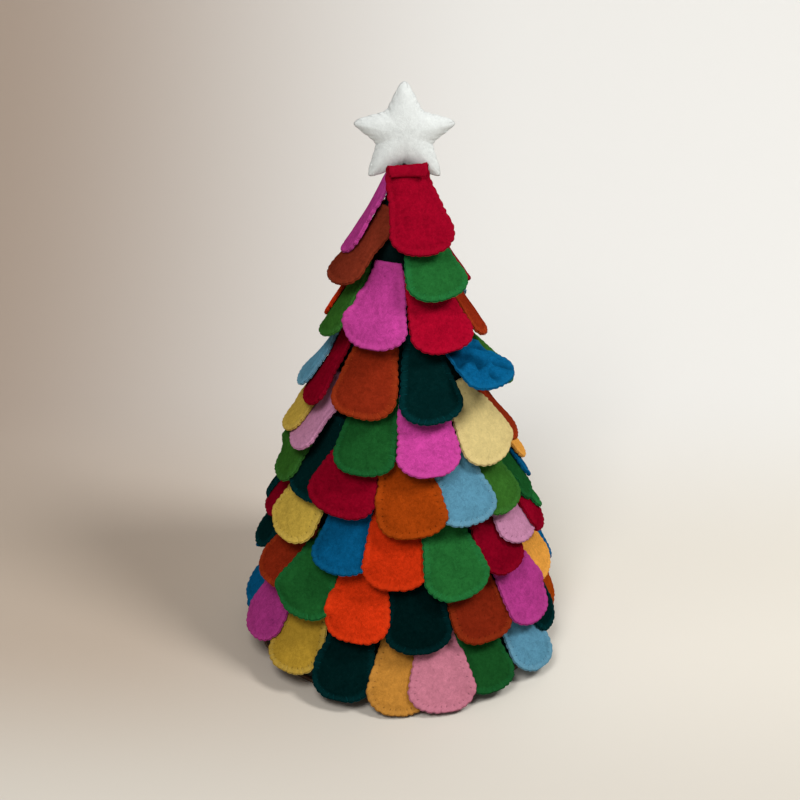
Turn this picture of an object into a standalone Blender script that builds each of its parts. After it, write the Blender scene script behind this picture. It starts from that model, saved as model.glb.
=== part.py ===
"""A tabletop Christmas tree sewn from wool felt.

A foam cone stands on a round hardboard base and wears a dark felt cover.
Nine rows of tongue shaped felt petals are sewn round it, each row lapping
over the tops of the row below. A stuffed felt star is sewn on the tip.

Everything is in metres, +Z is up, and the origin is the middle of the
underside of the base. The front of the tree faces -Y. An azimuth of 0 is
the front, and it grows towards +X, which is the viewer's right.
"""

import math

import bmesh
import bpy
from mathutils import Matrix, Vector

# Clearance between pieces that touch
GAP = 0.0003

# Hardboard base, foam cone and felt cover
BASE_RADIUS = 0.1145
BASE_THICKNESS = 0.0030
BASE_EDGE_ROUND = 0.0006
CONE_RADIUS = 0.1100
CONE_TIP_RADIUS = 0.0037
CONE_HEIGHT = 0.3763
COVER_THICKNESS = 0.0022
ROUND_STEPS = 48

# One petal: two layers of felt, sewn together round the edge
PETAL_LENGTH = 0.0685
PETAL_WIDTH = 0.0475
PETAL_END = 0.0180
PETAL_HEM = 0.0080
PETAL_THICKNESS = 0.0044
PETAL_EDGE_THICKNESS = 0.0034
TOP_ROW_FOLD = 0.0070

# How a petal hangs: it leaves the cone at the seam and curls outwards
HANG_START = math.radians(12.0)
HANG_END = math.radians(25.0)

# Shape of the petal's outline and crown
TOP_FILL_SHARE = 0.88
END_POWER = 2.2
BEND_SHARE = 0.6
ACROSS_SHARES = (-1.0, -0.52, 0.52, 1.0)
CROWN_SHARES = (0.0, 1.0, 1.0, 0.0)
BODY_SHARES = (0.0, 0.5, 1.0)
END_SHARES = (0.52, 0.84, 1.0)
TIP_FLAT_SHARE = 0.97
SHARP_EDGE = math.radians(40.0)
WELD = 0.00003

# Star: two felt faces over a soft filling
STAR_REACH = 0.0365
STAR_NOTCH = 0.0185
STAR_BULGE = 0.0098
STAR_FELT = 0.0022
STAR_LEAN = math.radians(12.0)
STAR_SETBACK = 0.0040
STAR_SHIFT = 0.0015
STAR_SINK = 0.0015
STAR_POINTS = 5
STAR_SOFTENING = math.radians(5.0)
STAR_POINTED_SHARE = 1.22
STAR_ARM_SHARES = (-0.66, -0.33, -0.12, 0.12, 0.33, 0.66, 1.0)
STAR_RING_SHARES = (0.93, 0.74, 0.42)

# Petal colours, roughly linear values of the felt
FELTS = {
    "red": (0.300, 0.004, 0.014),
    "crimson": (0.170, 0.003, 0.010),
    "magenta": (0.480, 0.045, 0.265),
    "pink": (0.560, 0.175, 0.245),
    "lilac": (0.480, 0.185, 0.350),
    "orange_red": (0.620, 0.030, 0.004),
    "orange_brown": (0.360, 0.055, 0.005),
    "rust": (0.240, 0.024, 0.008),
    "brown": (0.150, 0.018, 0.007),
    "mustard": (0.660, 0.290, 0.040),
    "pale_yellow": (0.680, 0.545, 0.200),
    "yellow": (0.480, 0.325, 0.045),
    "green": (0.014, 0.120, 0.022),
    "dark_green": (0.001, 0.012, 0.012),
    "blue": (0.003, 0.100, 0.255),
    "light_blue": (0.105, 0.325, 0.500),
    "mixed": (0.200, 0.090, 0.060),
}
BOARD_COLOUR = (0.090, 0.045, 0.022)
FOAM_COLOUR = (0.700, 0.690, 0.650)
COVER_COLOUR = (0.002, 0.007, 0.007)
STAR_COLOUR = (0.740, 0.740, 0.690)
WADDING_COLOUR = (0.800, 0.800, 0.780)
FELT_ROUGHNESS = 0.95
BOARD_ROUGHNESS = 0.80
FOAM_ROUGHNESS = 0.90

# Rows from the tip down: height of the petals' tips as a share of the cone's
# height, how far the petals stand off the cone at the sides and at the front,
# as shares of the two angles above, how far they lap over their neighbours,
# then the petals that can be seen from the front, each with its azimuth in
# degrees, its rise as a share of a petal's length, and its colour, then the
# colours round the back
ROWS = (
    (0.864, (1.45, 1.45), 0.0,
     ((-103, 0.03, "magenta"), (18, 0.10, "red"), (158, 0.04, "lilac")),
     ()),
    (0.786, (1.15, 1.15), 0.0,
     ((-54, -0.02, "brown"), (30, 0.02, "green"), (112, -0.08, "crimson")),
     ("mustard",)),
    (0.695, (1.0, 1.0), 0.6,
     ((-124, 0.03, "orange_red"), (-72, 0.02, "green"), (-20, 0.03, "magenta"),
      (29, -0.02, "red"), (80, -0.11, "rust")),
     ("light_blue", "dark_green")),
    (0.565, (1.0, 1.0), 0.8,
     ((-101, 0.00, "light_blue"), (-61, 0.00, "crimson"), (-21, 0.03, "rust"),
      (18, -0.02, "dark_green"), (59, 0.03, "blue"), (99, 0.03, "green")),
     ("pale_yellow", "orange_red", "magenta")),
    (0.459, (1.0, 1.0), 0.8,
     ((-118, 0.03, "blue"), (-86, 0.01, "yellow"), (-52, 0.04, "lilac"),
      (-19, 0.03, "green"), (13, 0.02, "magenta"), (45, -0.03, "pale_yellow"),
      (78, 0.00, "rust"), (111, 0.00, "mustard")),
     ("dark_green", "pink", "light_blue")),
    (0.356, (1.0, 1.0), 1.0,
     ((-102, 0.03, "orange_red"), (-75, 0.04, "green"), (-49, 0.05, "dark_green"),
      (-23, 0.05, "crimson"), (3, -0.05, "orange_brown"), (28, 0.00, "light_blue"),
      (52, -0.03, "green"), (77, -0.06, "green"), (103, 0.00, "blue")),
     ("magenta", "yellow", "red", "lilac", "rust")),
    (0.252, (0.9, 0.9), 0.25,
     ((-68, 0.16, "crimson"), (-46, 0.14, "yellow"), (-24, 0.04, "blue"),
      (-3, -0.03, "orange_red"), (20, -0.14, "green"), (40, -0.08, "crimson"),
      (59, 0.08, "lilac"), (79, 0.00, "crimson")),
     ("green", "light_blue", "orange_brown", "magenta", "dark_green", "pale_yellow",
      "blue", "red", "pink")),
    (0.146, (0.8, 0.9), 0.25,
     ((-70, 0.28, "dark_green"), (-51, 0.19, "rust"), (-34, 0.07, "green"),
      (-14, -0.04, "orange_red"), (6, -0.14, "dark_green"), (27, -0.13, "rust"),
      (47, -0.12, "magenta"), (66, 0.06, "mustard")),
     ("blue", "lilac", "green", "red", "yellow", "light_blue", "crimson", "mustard",
      "magenta", "orange_red")),
    (0.027, (0.45, 1.15), 0.4,
     ((-68, 0.32, "blue"), (-52, 0.22, "magenta"), (-36, 0.09, "yellow"),
      (-20, -0.02, "dark_green"), (-3, -0.11, "mustard"), (13, -0.11, "pink"),
      (29, -0.04, "green"), (46, 0.01, "light_blue"), (63, 0.03, "dark_green")),
     ("orange_brown", "crimson", "yellow", "green", "magenta", "pale_yellow", "dark_green",
      "red", "light_blue", "rust", "lilac", "green", "orange_red")),
)
SINGLE_ROWS = 6
FULL_TURN = 360.0
WIDEST_ROOM = 76.0
BACK_RISE_SHARE = 0.02
GOLDEN_TURN = math.radians(137.5)

# Sizes that follow from the ones above
BASE_TOP = BASE_THICKNESS + GAP
CORE_TOP = BASE_TOP + CONE_HEIGHT
COVER_RADIUS = CONE_RADIUS + GAP + COVER_THICKNESS
COVER_TIP_RADIUS = CONE_TIP_RADIUS + GAP + COVER_THICKNESS
COVER_TOP = CORE_TOP + GAP + COVER_THICKNESS
COVER_TAPER = (COVER_RADIUS - COVER_TIP_RADIUS) / (COVER_TOP - BASE_TOP)
CONE_SLANT = math.atan(COVER_TAPER)
PETAL_SHOULDER = PETAL_LENGTH - PETAL_END


def clear_scene():
    for item in list(bpy.data.objects):
        bpy.data.objects.remove(item, do_unlink=True)


def make_material(name, colour, roughness):
    material = bpy.data.materials.new(name)
    material.use_nodes = True
    shader = material.node_tree.nodes["Principled BSDF"]
    shader.inputs["Base Color"].default_value = (*colour, 1.0)
    shader.inputs["Roughness"].default_value = roughness
    shader.inputs["Metallic"].default_value = 0.0
    return material


def add_object(name, mesh, material):
    """Links a mesh as an object with one material, shaded smooth where it bends softly."""
    mesh.materials.append(material)
    mesh.shade_smooth()
    mesh.set_sharp_from_angle(angle=SHARP_EDGE)
    item = bpy.data.objects.new(name, mesh)
    bpy.context.scene.collection.objects.link(item)
    return item


def mesh_from(shape, name):
    """Turns a bmesh into a mesh with its faces pointing out."""
    bmesh.ops.recalc_face_normals(shape, faces=shape.faces)
    mesh = bpy.data.meshes.new(name)
    shape.to_mesh(mesh)
    shape.free()
    return mesh


def turned(name, profile, material):
    """Spins a profile of radius and height, which starts and ends on the axis."""
    shape = bmesh.new()
    rings = []
    for radius, height in profile:
        if radius == 0:
            rings.append([shape.verts.new((0, 0, height))])
            continue
        ring = []
        for step in range(ROUND_STEPS):
            turn = math.tau * step / ROUND_STEPS
            ring.append(shape.verts.new((radius * math.sin(turn), -radius * math.cos(turn), height)))
        rings.append(ring)
    for upper, lower in zip(rings, rings[1:]):
        for step in range(ROUND_STEPS):
            after = (step + 1) % ROUND_STEPS
            corners = [upper[step % len(upper)], upper[after % len(upper)],
                       lower[after % len(lower)], lower[step % len(lower)]]
            shape.faces.new(list(dict.fromkeys(corners)))
    return add_object(name, mesh_from(shape, name), material)


def make_base(material):
    inner = BASE_RADIUS - BASE_EDGE_ROUND
    return turned("base_board", (
        (0, BASE_THICKNESS),
        (inner, BASE_THICKNESS),
        (BASE_RADIUS, BASE_THICKNESS - BASE_EDGE_ROUND),
        (BASE_RADIUS, BASE_EDGE_ROUND),
        (inner, 0),
        (0, 0),
    ), material)


def make_core(material):
    return turned("cone_core", (
        (0, CORE_TOP),
        (CONE_TIP_RADIUS, CORE_TOP),
        (CONE_RADIUS, BASE_TOP),
        (0, BASE_TOP),
    ), material)


def make_cover(material):
    """The felt skin of the cone, open at the bottom, with its hem on the base."""
    return turned("cone_cover", (
        (0, COVER_TOP),
        (COVER_TIP_RADIUS, COVER_TOP),
        (COVER_RADIUS, BASE_TOP),
        (COVER_RADIUS - COVER_THICKNESS, BASE_TOP),
        (COVER_TIP_RADIUS - COVER_THICKNESS, COVER_TOP - COVER_THICKNESS),
        (0, COVER_TOP - COVER_THICKNESS),
    ), material)


def cover_radius(height):
    """Radius of the cover's outside at a height."""
    return COVER_RADIUS - COVER_TAPER * (height - BASE_TOP)


def hang(along, stand_share):
    """Where a petal's middle line is, a distance along it from the sewn edge.

    Gives the way out from the axis, the way down, and the angle off vertical.
    """
    flat = min(along, PETAL_HEM)
    out = flat * math.sin(CONE_SLANT)
    down = flat * math.cos(CONE_SLANT)
    if along <= PETAL_HEM:
        return out, down, CONE_SLANT
    first = CONE_SLANT + stand_share * HANG_START
    curl = stand_share * (HANG_END - HANG_START) / (PETAL_LENGTH - PETAL_HEM)
    angle = first + curl * (along - PETAL_HEM)
    out += (math.cos(first) - math.cos(angle)) / curl
    down += (math.sin(angle) - math.sin(first)) / curl
    return out, down, angle


def half_width(along, half_top):
    """Half the petal's width: it widens to a shoulder and ends in a round tongue."""
    half = PETAL_WIDTH / 2
    if along <= PETAL_SHOULDER:
        return half_top + (half - half_top) * along / PETAL_SHOULDER
    share = TIP_FLAT_SHARE * (along - PETAL_SHOULDER) / PETAL_END
    return half * (1 - share ** END_POWER) ** (1 / END_POWER)


def petal_rows(fold):
    """Distances along a petal, from its fold down, at which its mesh has a row of points."""
    hem = fold + PETAL_HEM
    body = [hem + share * (PETAL_SHOULDER - hem) for share in BODY_SHARES]
    end = [PETAL_SHOULDER + share * PETAL_END for share in END_SHARES]
    return [fold, *body, *end]


def stand_at(azimuth, stand_shares):
    """How far a petal stands off the cone: more at the front where its row flares."""
    side, front = stand_shares
    facing = max(0.0, math.cos(math.radians(azimuth)))
    return side + (front - side) * facing * facing


def spread_petals(seen, back):
    """All the petals of a row: the seen ones, then the back ones evenly between their ends.

    Each is given with its room, the smaller of the angles to its two neighbours.
    """
    petals = list(seen)
    first, last = seen[0][0], seen[-1][0]
    step = (FULL_TURN + first - last) / (len(back) + 1)
    for index, colour in enumerate(back, start=1):
        petals.append((last + step * index, BACK_RISE_SHARE * math.sin(index * GOLDEN_TURN), colour))
    turns = [azimuth for azimuth, _, _ in petals]
    after = [*turns[1:], turns[0] + FULL_TURN]
    before = [turns[-1] - FULL_TURN, *turns[:-1]]
    rooms = [min(b - a, a - c, WIDEST_ROOM) for a, b, c in zip(turns, after, before)]
    return [(*petal, room) for petal, room in zip(petals, rooms)]


def petal_shape(azimuth, tip_height, room, stand_share, lap, fold):
    """One petal as a bmesh: a closed sheet that sits on the cover at its sewn edge."""
    out, down, _ = hang(PETAL_LENGTH - fold, stand_share)
    top_height = tip_height + down
    cover = cover_radius(top_height)
    half_thick = PETAL_THICKNESS / 2
    middle = cover + (GAP + half_thick) / math.cos(CONE_SLANT)
    half_room = math.radians(room) / 2
    half_top = TOP_FILL_SHARE * (middle - half_thick) * math.tan(half_room)
    pitch = 2 * middle * math.tan(half_room)
    tilt = math.asin(lap * (PETAL_THICKNESS + GAP) / pitch)
    bend = BEND_SHARE / (middle + out)
    rounding = 1 / cover - bend
    reach = min(half_top, math.sin(tilt) / rounding)
    middle += reach * math.sin(tilt) - rounding * reach * reach / 2
    middle += (1 - math.cos(ACROSS_SHARES[-2] * half_top * bend)) / bend

    turn = Matrix.Rotation(math.radians(azimuth), 3, "Z")
    across = turn @ Vector((1, 0, 0))
    outwards = turn @ Vector((0, -1, 0))
    upwards = Vector((0, 0, 1))

    shape = bmesh.new()
    sides = []
    for side in (1, -1):
        grid = []
        for along in petal_rows(fold):
            out, down, angle = hang(along - fold, stand_share)
            centre = outwards * (middle + out) + upwards * (top_height - down)
            normal = outwards * math.cos(angle) + upwards * math.sin(angle)
            half = half_width(along, half_top)
            row = []
            for share, crown in zip(ACROSS_SHARES, CROWN_SHARES):
                sweep = share * half * bend
                sideways = math.sin(sweep) / bend
                raised = (math.cos(sweep) - 1) / bend
                border = along in (fold, PETAL_LENGTH)
                fill = 0.0 if border else crown
                thick = PETAL_EDGE_THICKNESS + (PETAL_THICKNESS - PETAL_EDGE_THICKNESS) * fill
                sideways += side * math.sin(sweep) * thick / 2
                raised += side * math.cos(sweep) * thick / 2
                tilted_across = sideways * math.cos(tilt) - raised * math.sin(tilt)
                tilted_out = sideways * math.sin(tilt) + raised * math.cos(tilt)
                row.append(shape.verts.new(centre + across * tilted_across + normal * tilted_out))
            grid.append(row)
        sides.append(grid)

    for grid in sides:
        for upper, lower in zip(grid, grid[1:]):
            for a, b, c, d in zip(upper, upper[1:], lower[1:], lower):
                shape.faces.new((a, b, c, d))
    rims = [outline(grid) for grid in sides]
    for step in range(len(rims[0])):
        after = (step + 1) % len(rims[0])
        shape.faces.new((rims[0][step], rims[0][after], rims[1][after], rims[1][step]))
    return shape


def outline(grid):
    """The points round the edge of a grid, in order."""
    right = [row[-1] for row in grid[1:-1]]
    left = [row[0] for row in reversed(grid[1:-1])]
    return [*grid[0], *right, *reversed(grid[-1]), *left]


def make_petal_rows(felts):
    """Rows near the tip keep every petal as its own piece; below, a row's petals join."""
    for number, (height_share, stand_shares, lap, seen, back) in enumerate(ROWS, start=1):
        petals = spread_petals(seen, back)
        tip_height = height_share * CONE_HEIGHT
        fold = TOP_ROW_FOLD if number == 1 else 0.0
        pieces = []
        for index, (azimuth, rise_share, colour, room) in enumerate(petals, start=1):
            name = f"row{number}_petal{index:02d}_{colour}"
            height = tip_height + rise_share * PETAL_LENGTH
            stand_share = stand_at(azimuth, stand_shares)
            shape = petal_shape(azimuth, height, room, stand_share, lap, fold)
            mesh = mesh_from(shape, name)
            pieces.append((name, mesh, felts[colour]))
        if number <= SINGLE_ROWS:
            for name, mesh, material in pieces:
                add_object(name, mesh, material)
        else:
            join_row(f"row{number}_petals", [mesh for _, mesh, _ in pieces], felts["mixed"])


def join_row(name, meshes, material):
    """Unites petals that lie against each other all round a row."""
    joined = add_object(name, meshes[0], material)
    for mesh in meshes[1:]:
        other = bpy.data.objects.new(mesh.name, mesh)
        bpy.context.scene.collection.objects.link(other)
        union = joined.modifiers.new("Join", "BOOLEAN")
        union.operation = "UNION"
        union.solver = "EXACT"
        union.object = other
        other.hide_render = True
        other.display_type = "WIRE"
    return joined


def star_radius(turn):
    """Distance from the star's centre to its soft outline, at an angle off an arm.

    The straight side from an arm's point to its notch, with both ends rounded.
    """
    half_arm = math.pi / STAR_POINTS
    from_tip = math.hypot(turn, STAR_SOFTENING)
    from_notch = math.hypot(half_arm - abs(turn), STAR_SOFTENING)
    share = from_tip / (from_tip + from_notch)
    point = STAR_REACH * STAR_POINTED_SHARE
    side = point * math.sin(share * half_arm) + STAR_NOTCH * math.sin((1 - share) * half_arm)
    return point * STAR_NOTCH * math.sin(half_arm) / side


def star_outline(inset):
    """Points round the star, as pairs of sideways and upwards, drawn in by an inset."""
    points = []
    half_arm = math.pi / STAR_POINTS
    for arm in range(STAR_POINTS):
        for share in STAR_ARM_SHARES:
            turn = share * half_arm
            radius = star_radius(turn) - inset
            angle = math.tau * arm / STAR_POINTS + turn
            points.append((radius * math.sin(angle), radius * math.cos(angle)))
    return points


def dome(share, height):
    """Height of the pillow at a share of the way from its centre to its edge."""
    return height * math.sqrt(1 - share * share)


def star_rings(shape, inset, base, height, side):
    """Rings of points over one face of the star, from the edge to the centre."""
    rings = []
    outline_points = star_outline(inset)
    for share in (1.0, *STAR_RING_SHARES):
        raised = side * (base + dome(share, height))
        rings.append([shape.verts.new((x * share, -raised, z * share)) for x, z in outline_points])
    rings.append([shape.verts.new((0, -side * (base + height), 0))])
    return rings


def bridge_rings(shape, rings):
    """Faces between neighbouring rings; the last ring may be a single point."""
    for outer, inner in zip(rings, rings[1:]):
        count = len(outer)
        for step in range(count):
            after = (step + 1) % count
            corners = [outer[step], outer[after],
                       inner[after % len(inner)], inner[step % len(inner)]]
            shape.faces.new(list(dict.fromkeys(corners)))


def star_place():
    """Leans the star back and lets its two lower arms straddle the tip of the cover."""
    rim = STAR_FELT + GAP / 2
    half_arm = math.pi / STAR_POINTS
    notch = star_radius(half_arm)
    off_notch = math.asin((COVER_TIP_RADIUS + STAR_SHIFT) / notch)
    below = star_radius(half_arm - off_notch) * math.cos(off_notch)
    drop = below * math.cos(STAR_LEAN) + rim * math.sin(STAR_LEAN)
    centre = Vector((STAR_SHIFT, STAR_SETBACK, COVER_TOP + GAP + drop - STAR_SINK))
    return Matrix.Translation(centre) @ Matrix.Rotation(-STAR_LEAN, 4, "X")


def make_star_face(name, side, material):
    """One felt face of the star: a soft shell whose rim meets the other face's."""
    shape = bmesh.new()
    outer = star_rings(shape, 0, GAP / 2 + STAR_FELT, STAR_BULGE - STAR_FELT, side)
    inner = star_rings(shape, STAR_FELT, GAP / 2, STAR_BULGE - STAR_FELT, side)
    bridge_rings(shape, outer)
    bridge_rings(shape, inner)
    bridge_rings(shape, [outer[0], inner[0]])
    mesh = mesh_from(shape, name)
    mesh.transform(star_place())
    return add_object(name, mesh, material)


def make_star_filling(material):
    """The wadding between the star's faces."""
    shape = bmesh.new()
    inset = STAR_FELT + GAP
    front = star_rings(shape, inset, 0, STAR_BULGE - STAR_FELT - GAP, 1)
    back = star_rings(shape, inset, 0, STAR_BULGE - STAR_FELT - GAP, -1)
    bridge_rings(shape, front)
    bridge_rings(shape, back)
    bmesh.ops.remove_doubles(shape, verts=shape.verts, dist=WELD)
    mesh = mesh_from(shape, "star_filling")
    mesh.transform(star_place())
    return add_object("star_filling", mesh, material)


def main():
    clear_scene()
    felts = {name: make_material(f"felt_{name}", colour, FELT_ROUGHNESS)
             for name, colour in FELTS.items()}
    board = make_material("hardboard", BOARD_COLOUR, BOARD_ROUGHNESS)
    foam = make_material("foam", FOAM_COLOUR, FOAM_ROUGHNESS)
    cover = make_material("felt_cover", COVER_COLOUR, FELT_ROUGHNESS)
    star = make_material("felt_star", STAR_COLOUR, FELT_ROUGHNESS)
    wadding = make_material("wadding", WADDING_COLOUR, FELT_ROUGHNESS)
    make_base(board)
    make_core(foam)
    make_cover(cover)
    make_petal_rows(felts)
    make_star_face("star_front_felt", 1, star)
    make_star_face("star_back_felt", -1, star)
    make_star_filling(wadding)


main()
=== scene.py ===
"""A tabletop Christmas tree of wool felt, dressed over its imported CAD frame.

Every petal is two layers of felt, blanket stitched together round the edge,
narrow where it is sewn to the cone and round at its lower end. Lengths are in
metres, +Z is up, the front faces -Y, and an azimuth grows towards +X.
"""

import math

import bmesh
import bpy
import numpy as np
from bpy.props import BoolProperty, FloatProperty, FloatVectorProperty, IntProperty, PointerProperty
from bpy.types import Operator, Panel, PropertyGroup
from mathutils import Matrix, Vector
from mathutils.bvhtree import BVHTree


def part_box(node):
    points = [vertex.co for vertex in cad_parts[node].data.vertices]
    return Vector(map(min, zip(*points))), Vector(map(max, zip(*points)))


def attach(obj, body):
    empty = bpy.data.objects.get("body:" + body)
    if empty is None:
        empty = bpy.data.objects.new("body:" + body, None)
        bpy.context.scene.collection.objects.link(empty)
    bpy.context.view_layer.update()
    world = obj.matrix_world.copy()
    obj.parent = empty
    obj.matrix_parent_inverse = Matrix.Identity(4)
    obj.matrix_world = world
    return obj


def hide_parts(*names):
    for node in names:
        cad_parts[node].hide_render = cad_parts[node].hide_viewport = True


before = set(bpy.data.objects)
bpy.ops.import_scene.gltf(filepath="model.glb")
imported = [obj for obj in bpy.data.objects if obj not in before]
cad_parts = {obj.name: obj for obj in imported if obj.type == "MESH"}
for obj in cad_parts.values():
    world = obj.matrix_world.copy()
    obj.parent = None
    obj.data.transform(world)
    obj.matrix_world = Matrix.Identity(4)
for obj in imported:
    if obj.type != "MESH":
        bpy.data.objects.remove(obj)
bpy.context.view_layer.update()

bl_info = {
    "name": "Felt Christmas tree",
    "version": (1, 0, 0),
    "blender": (4, 5, 0),
    "location": "View3D > Sidebar > Felt tree",
    "description": "Builds a tabletop Christmas tree of stitched wool felt petals",
    "category": "Add Mesh",
}

BODY = "root"
MM = 0.001

# The cone as the frame gives it
COVER_LOW, COVER_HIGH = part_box("cone_cover")
COVER_RADIUS = (COVER_HIGH.x - COVER_LOW.x) / 2
COVER_TIP_RADIUS = 6.2 * MM
COVER_TAPER = (COVER_RADIUS - COVER_TIP_RADIUS) / (COVER_HIGH.z - COVER_LOW.z)
CONE_SLANT = math.atan(COVER_TAPER)
BOARD_LOW, BOARD_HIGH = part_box("base_board")
GAP = 0.3 * MM

# Felt colours in linear light, each with the thread that sews it
FELTS = {
    "red": ((0.275, 0.0018, 0.0155), (0.320, 0.004, 0.020)),
    "crimson": ((0.180, 0.0010, 0.0105), (0.220, 0.003, 0.014)),
    "magenta": ((0.430, 0.042, 0.245), (0.480, 0.060, 0.275)),
    "pink": ((0.510, 0.175, 0.245), (0.560, 0.200, 0.280)),
    "lilac": ((0.480, 0.210, 0.345), (0.520, 0.230, 0.380)),
    "orange_red": ((0.540, 0.029, 0.0045), (0.600, 0.040, 0.007)),
    "orange_brown": ((0.290, 0.042, 0.003), (0.360, 0.060, 0.006)),
    "rust": ((0.200, 0.018, 0.0055), (0.320, 0.045, 0.010)),
    "brown": ((0.155, 0.022, 0.010), (0.190, 0.030, 0.013)),
    "mustard": ((0.620, 0.275, 0.045), (0.660, 0.310, 0.065)),
    "pale_yellow": ((0.600, 0.480, 0.205), (0.640, 0.510, 0.230)),
    "yellow": ((0.460, 0.315, 0.050), (0.540, 0.390, 0.090)),
    "ochre": ((0.450, 0.275, 0.030), (0.540, 0.390, 0.100)),
    "green": ((0.012, 0.098, 0.021), (0.016, 0.160, 0.045)),
    "leaf_green": ((0.027, 0.104, 0.014), (0.040, 0.150, 0.030)),
    "dark_green": ((0.0006, 0.0115, 0.0115), (0.002, 0.040, 0.045)),
    "blue": ((0.002, 0.078, 0.190), (0.005, 0.105, 0.235)),
    "light_blue": ((0.085, 0.240, 0.350), (0.160, 0.340, 0.450)),
}

# Pale felts show less of their fibres
CALM = {"pale_yellow": 0.55, "light_blue": 0.8, "pink": 0.75, "lilac": 0.75, "yellow": 0.8,
        "mustard": 0.8, "ochre": 0.8}
# Felts whose slot in the record has another name
SLOTS = {"leaf_green": "green", "ochre": "yellow"}

# Changes to single petals. Shares: stand off the cone, tone, length, width,
# wave, and flatness of its curve round the cone. Degrees: lean and twist.
# Lengths: top, its sewn end's half width; fold, how much of its top is turned
# over; slide, its shift sideways. Also the number of creases pressed into it
# and how dark its needle holes are
LIFTED = {"stand": 2.45, "lean": 3, "creases": 15}
FOLDED = {"top": 13.2 * MM, "fold": 7.0 * MM, "length": 1.08, "width": 1.0, "stand": 0.70,
          "lean": 9.5, "slide": 2.9 * MM, "tone": 0.83}
# Painted shade: these petals' needle holes are painted fully dark
PRICKED = {"holes": 1.0}
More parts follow.
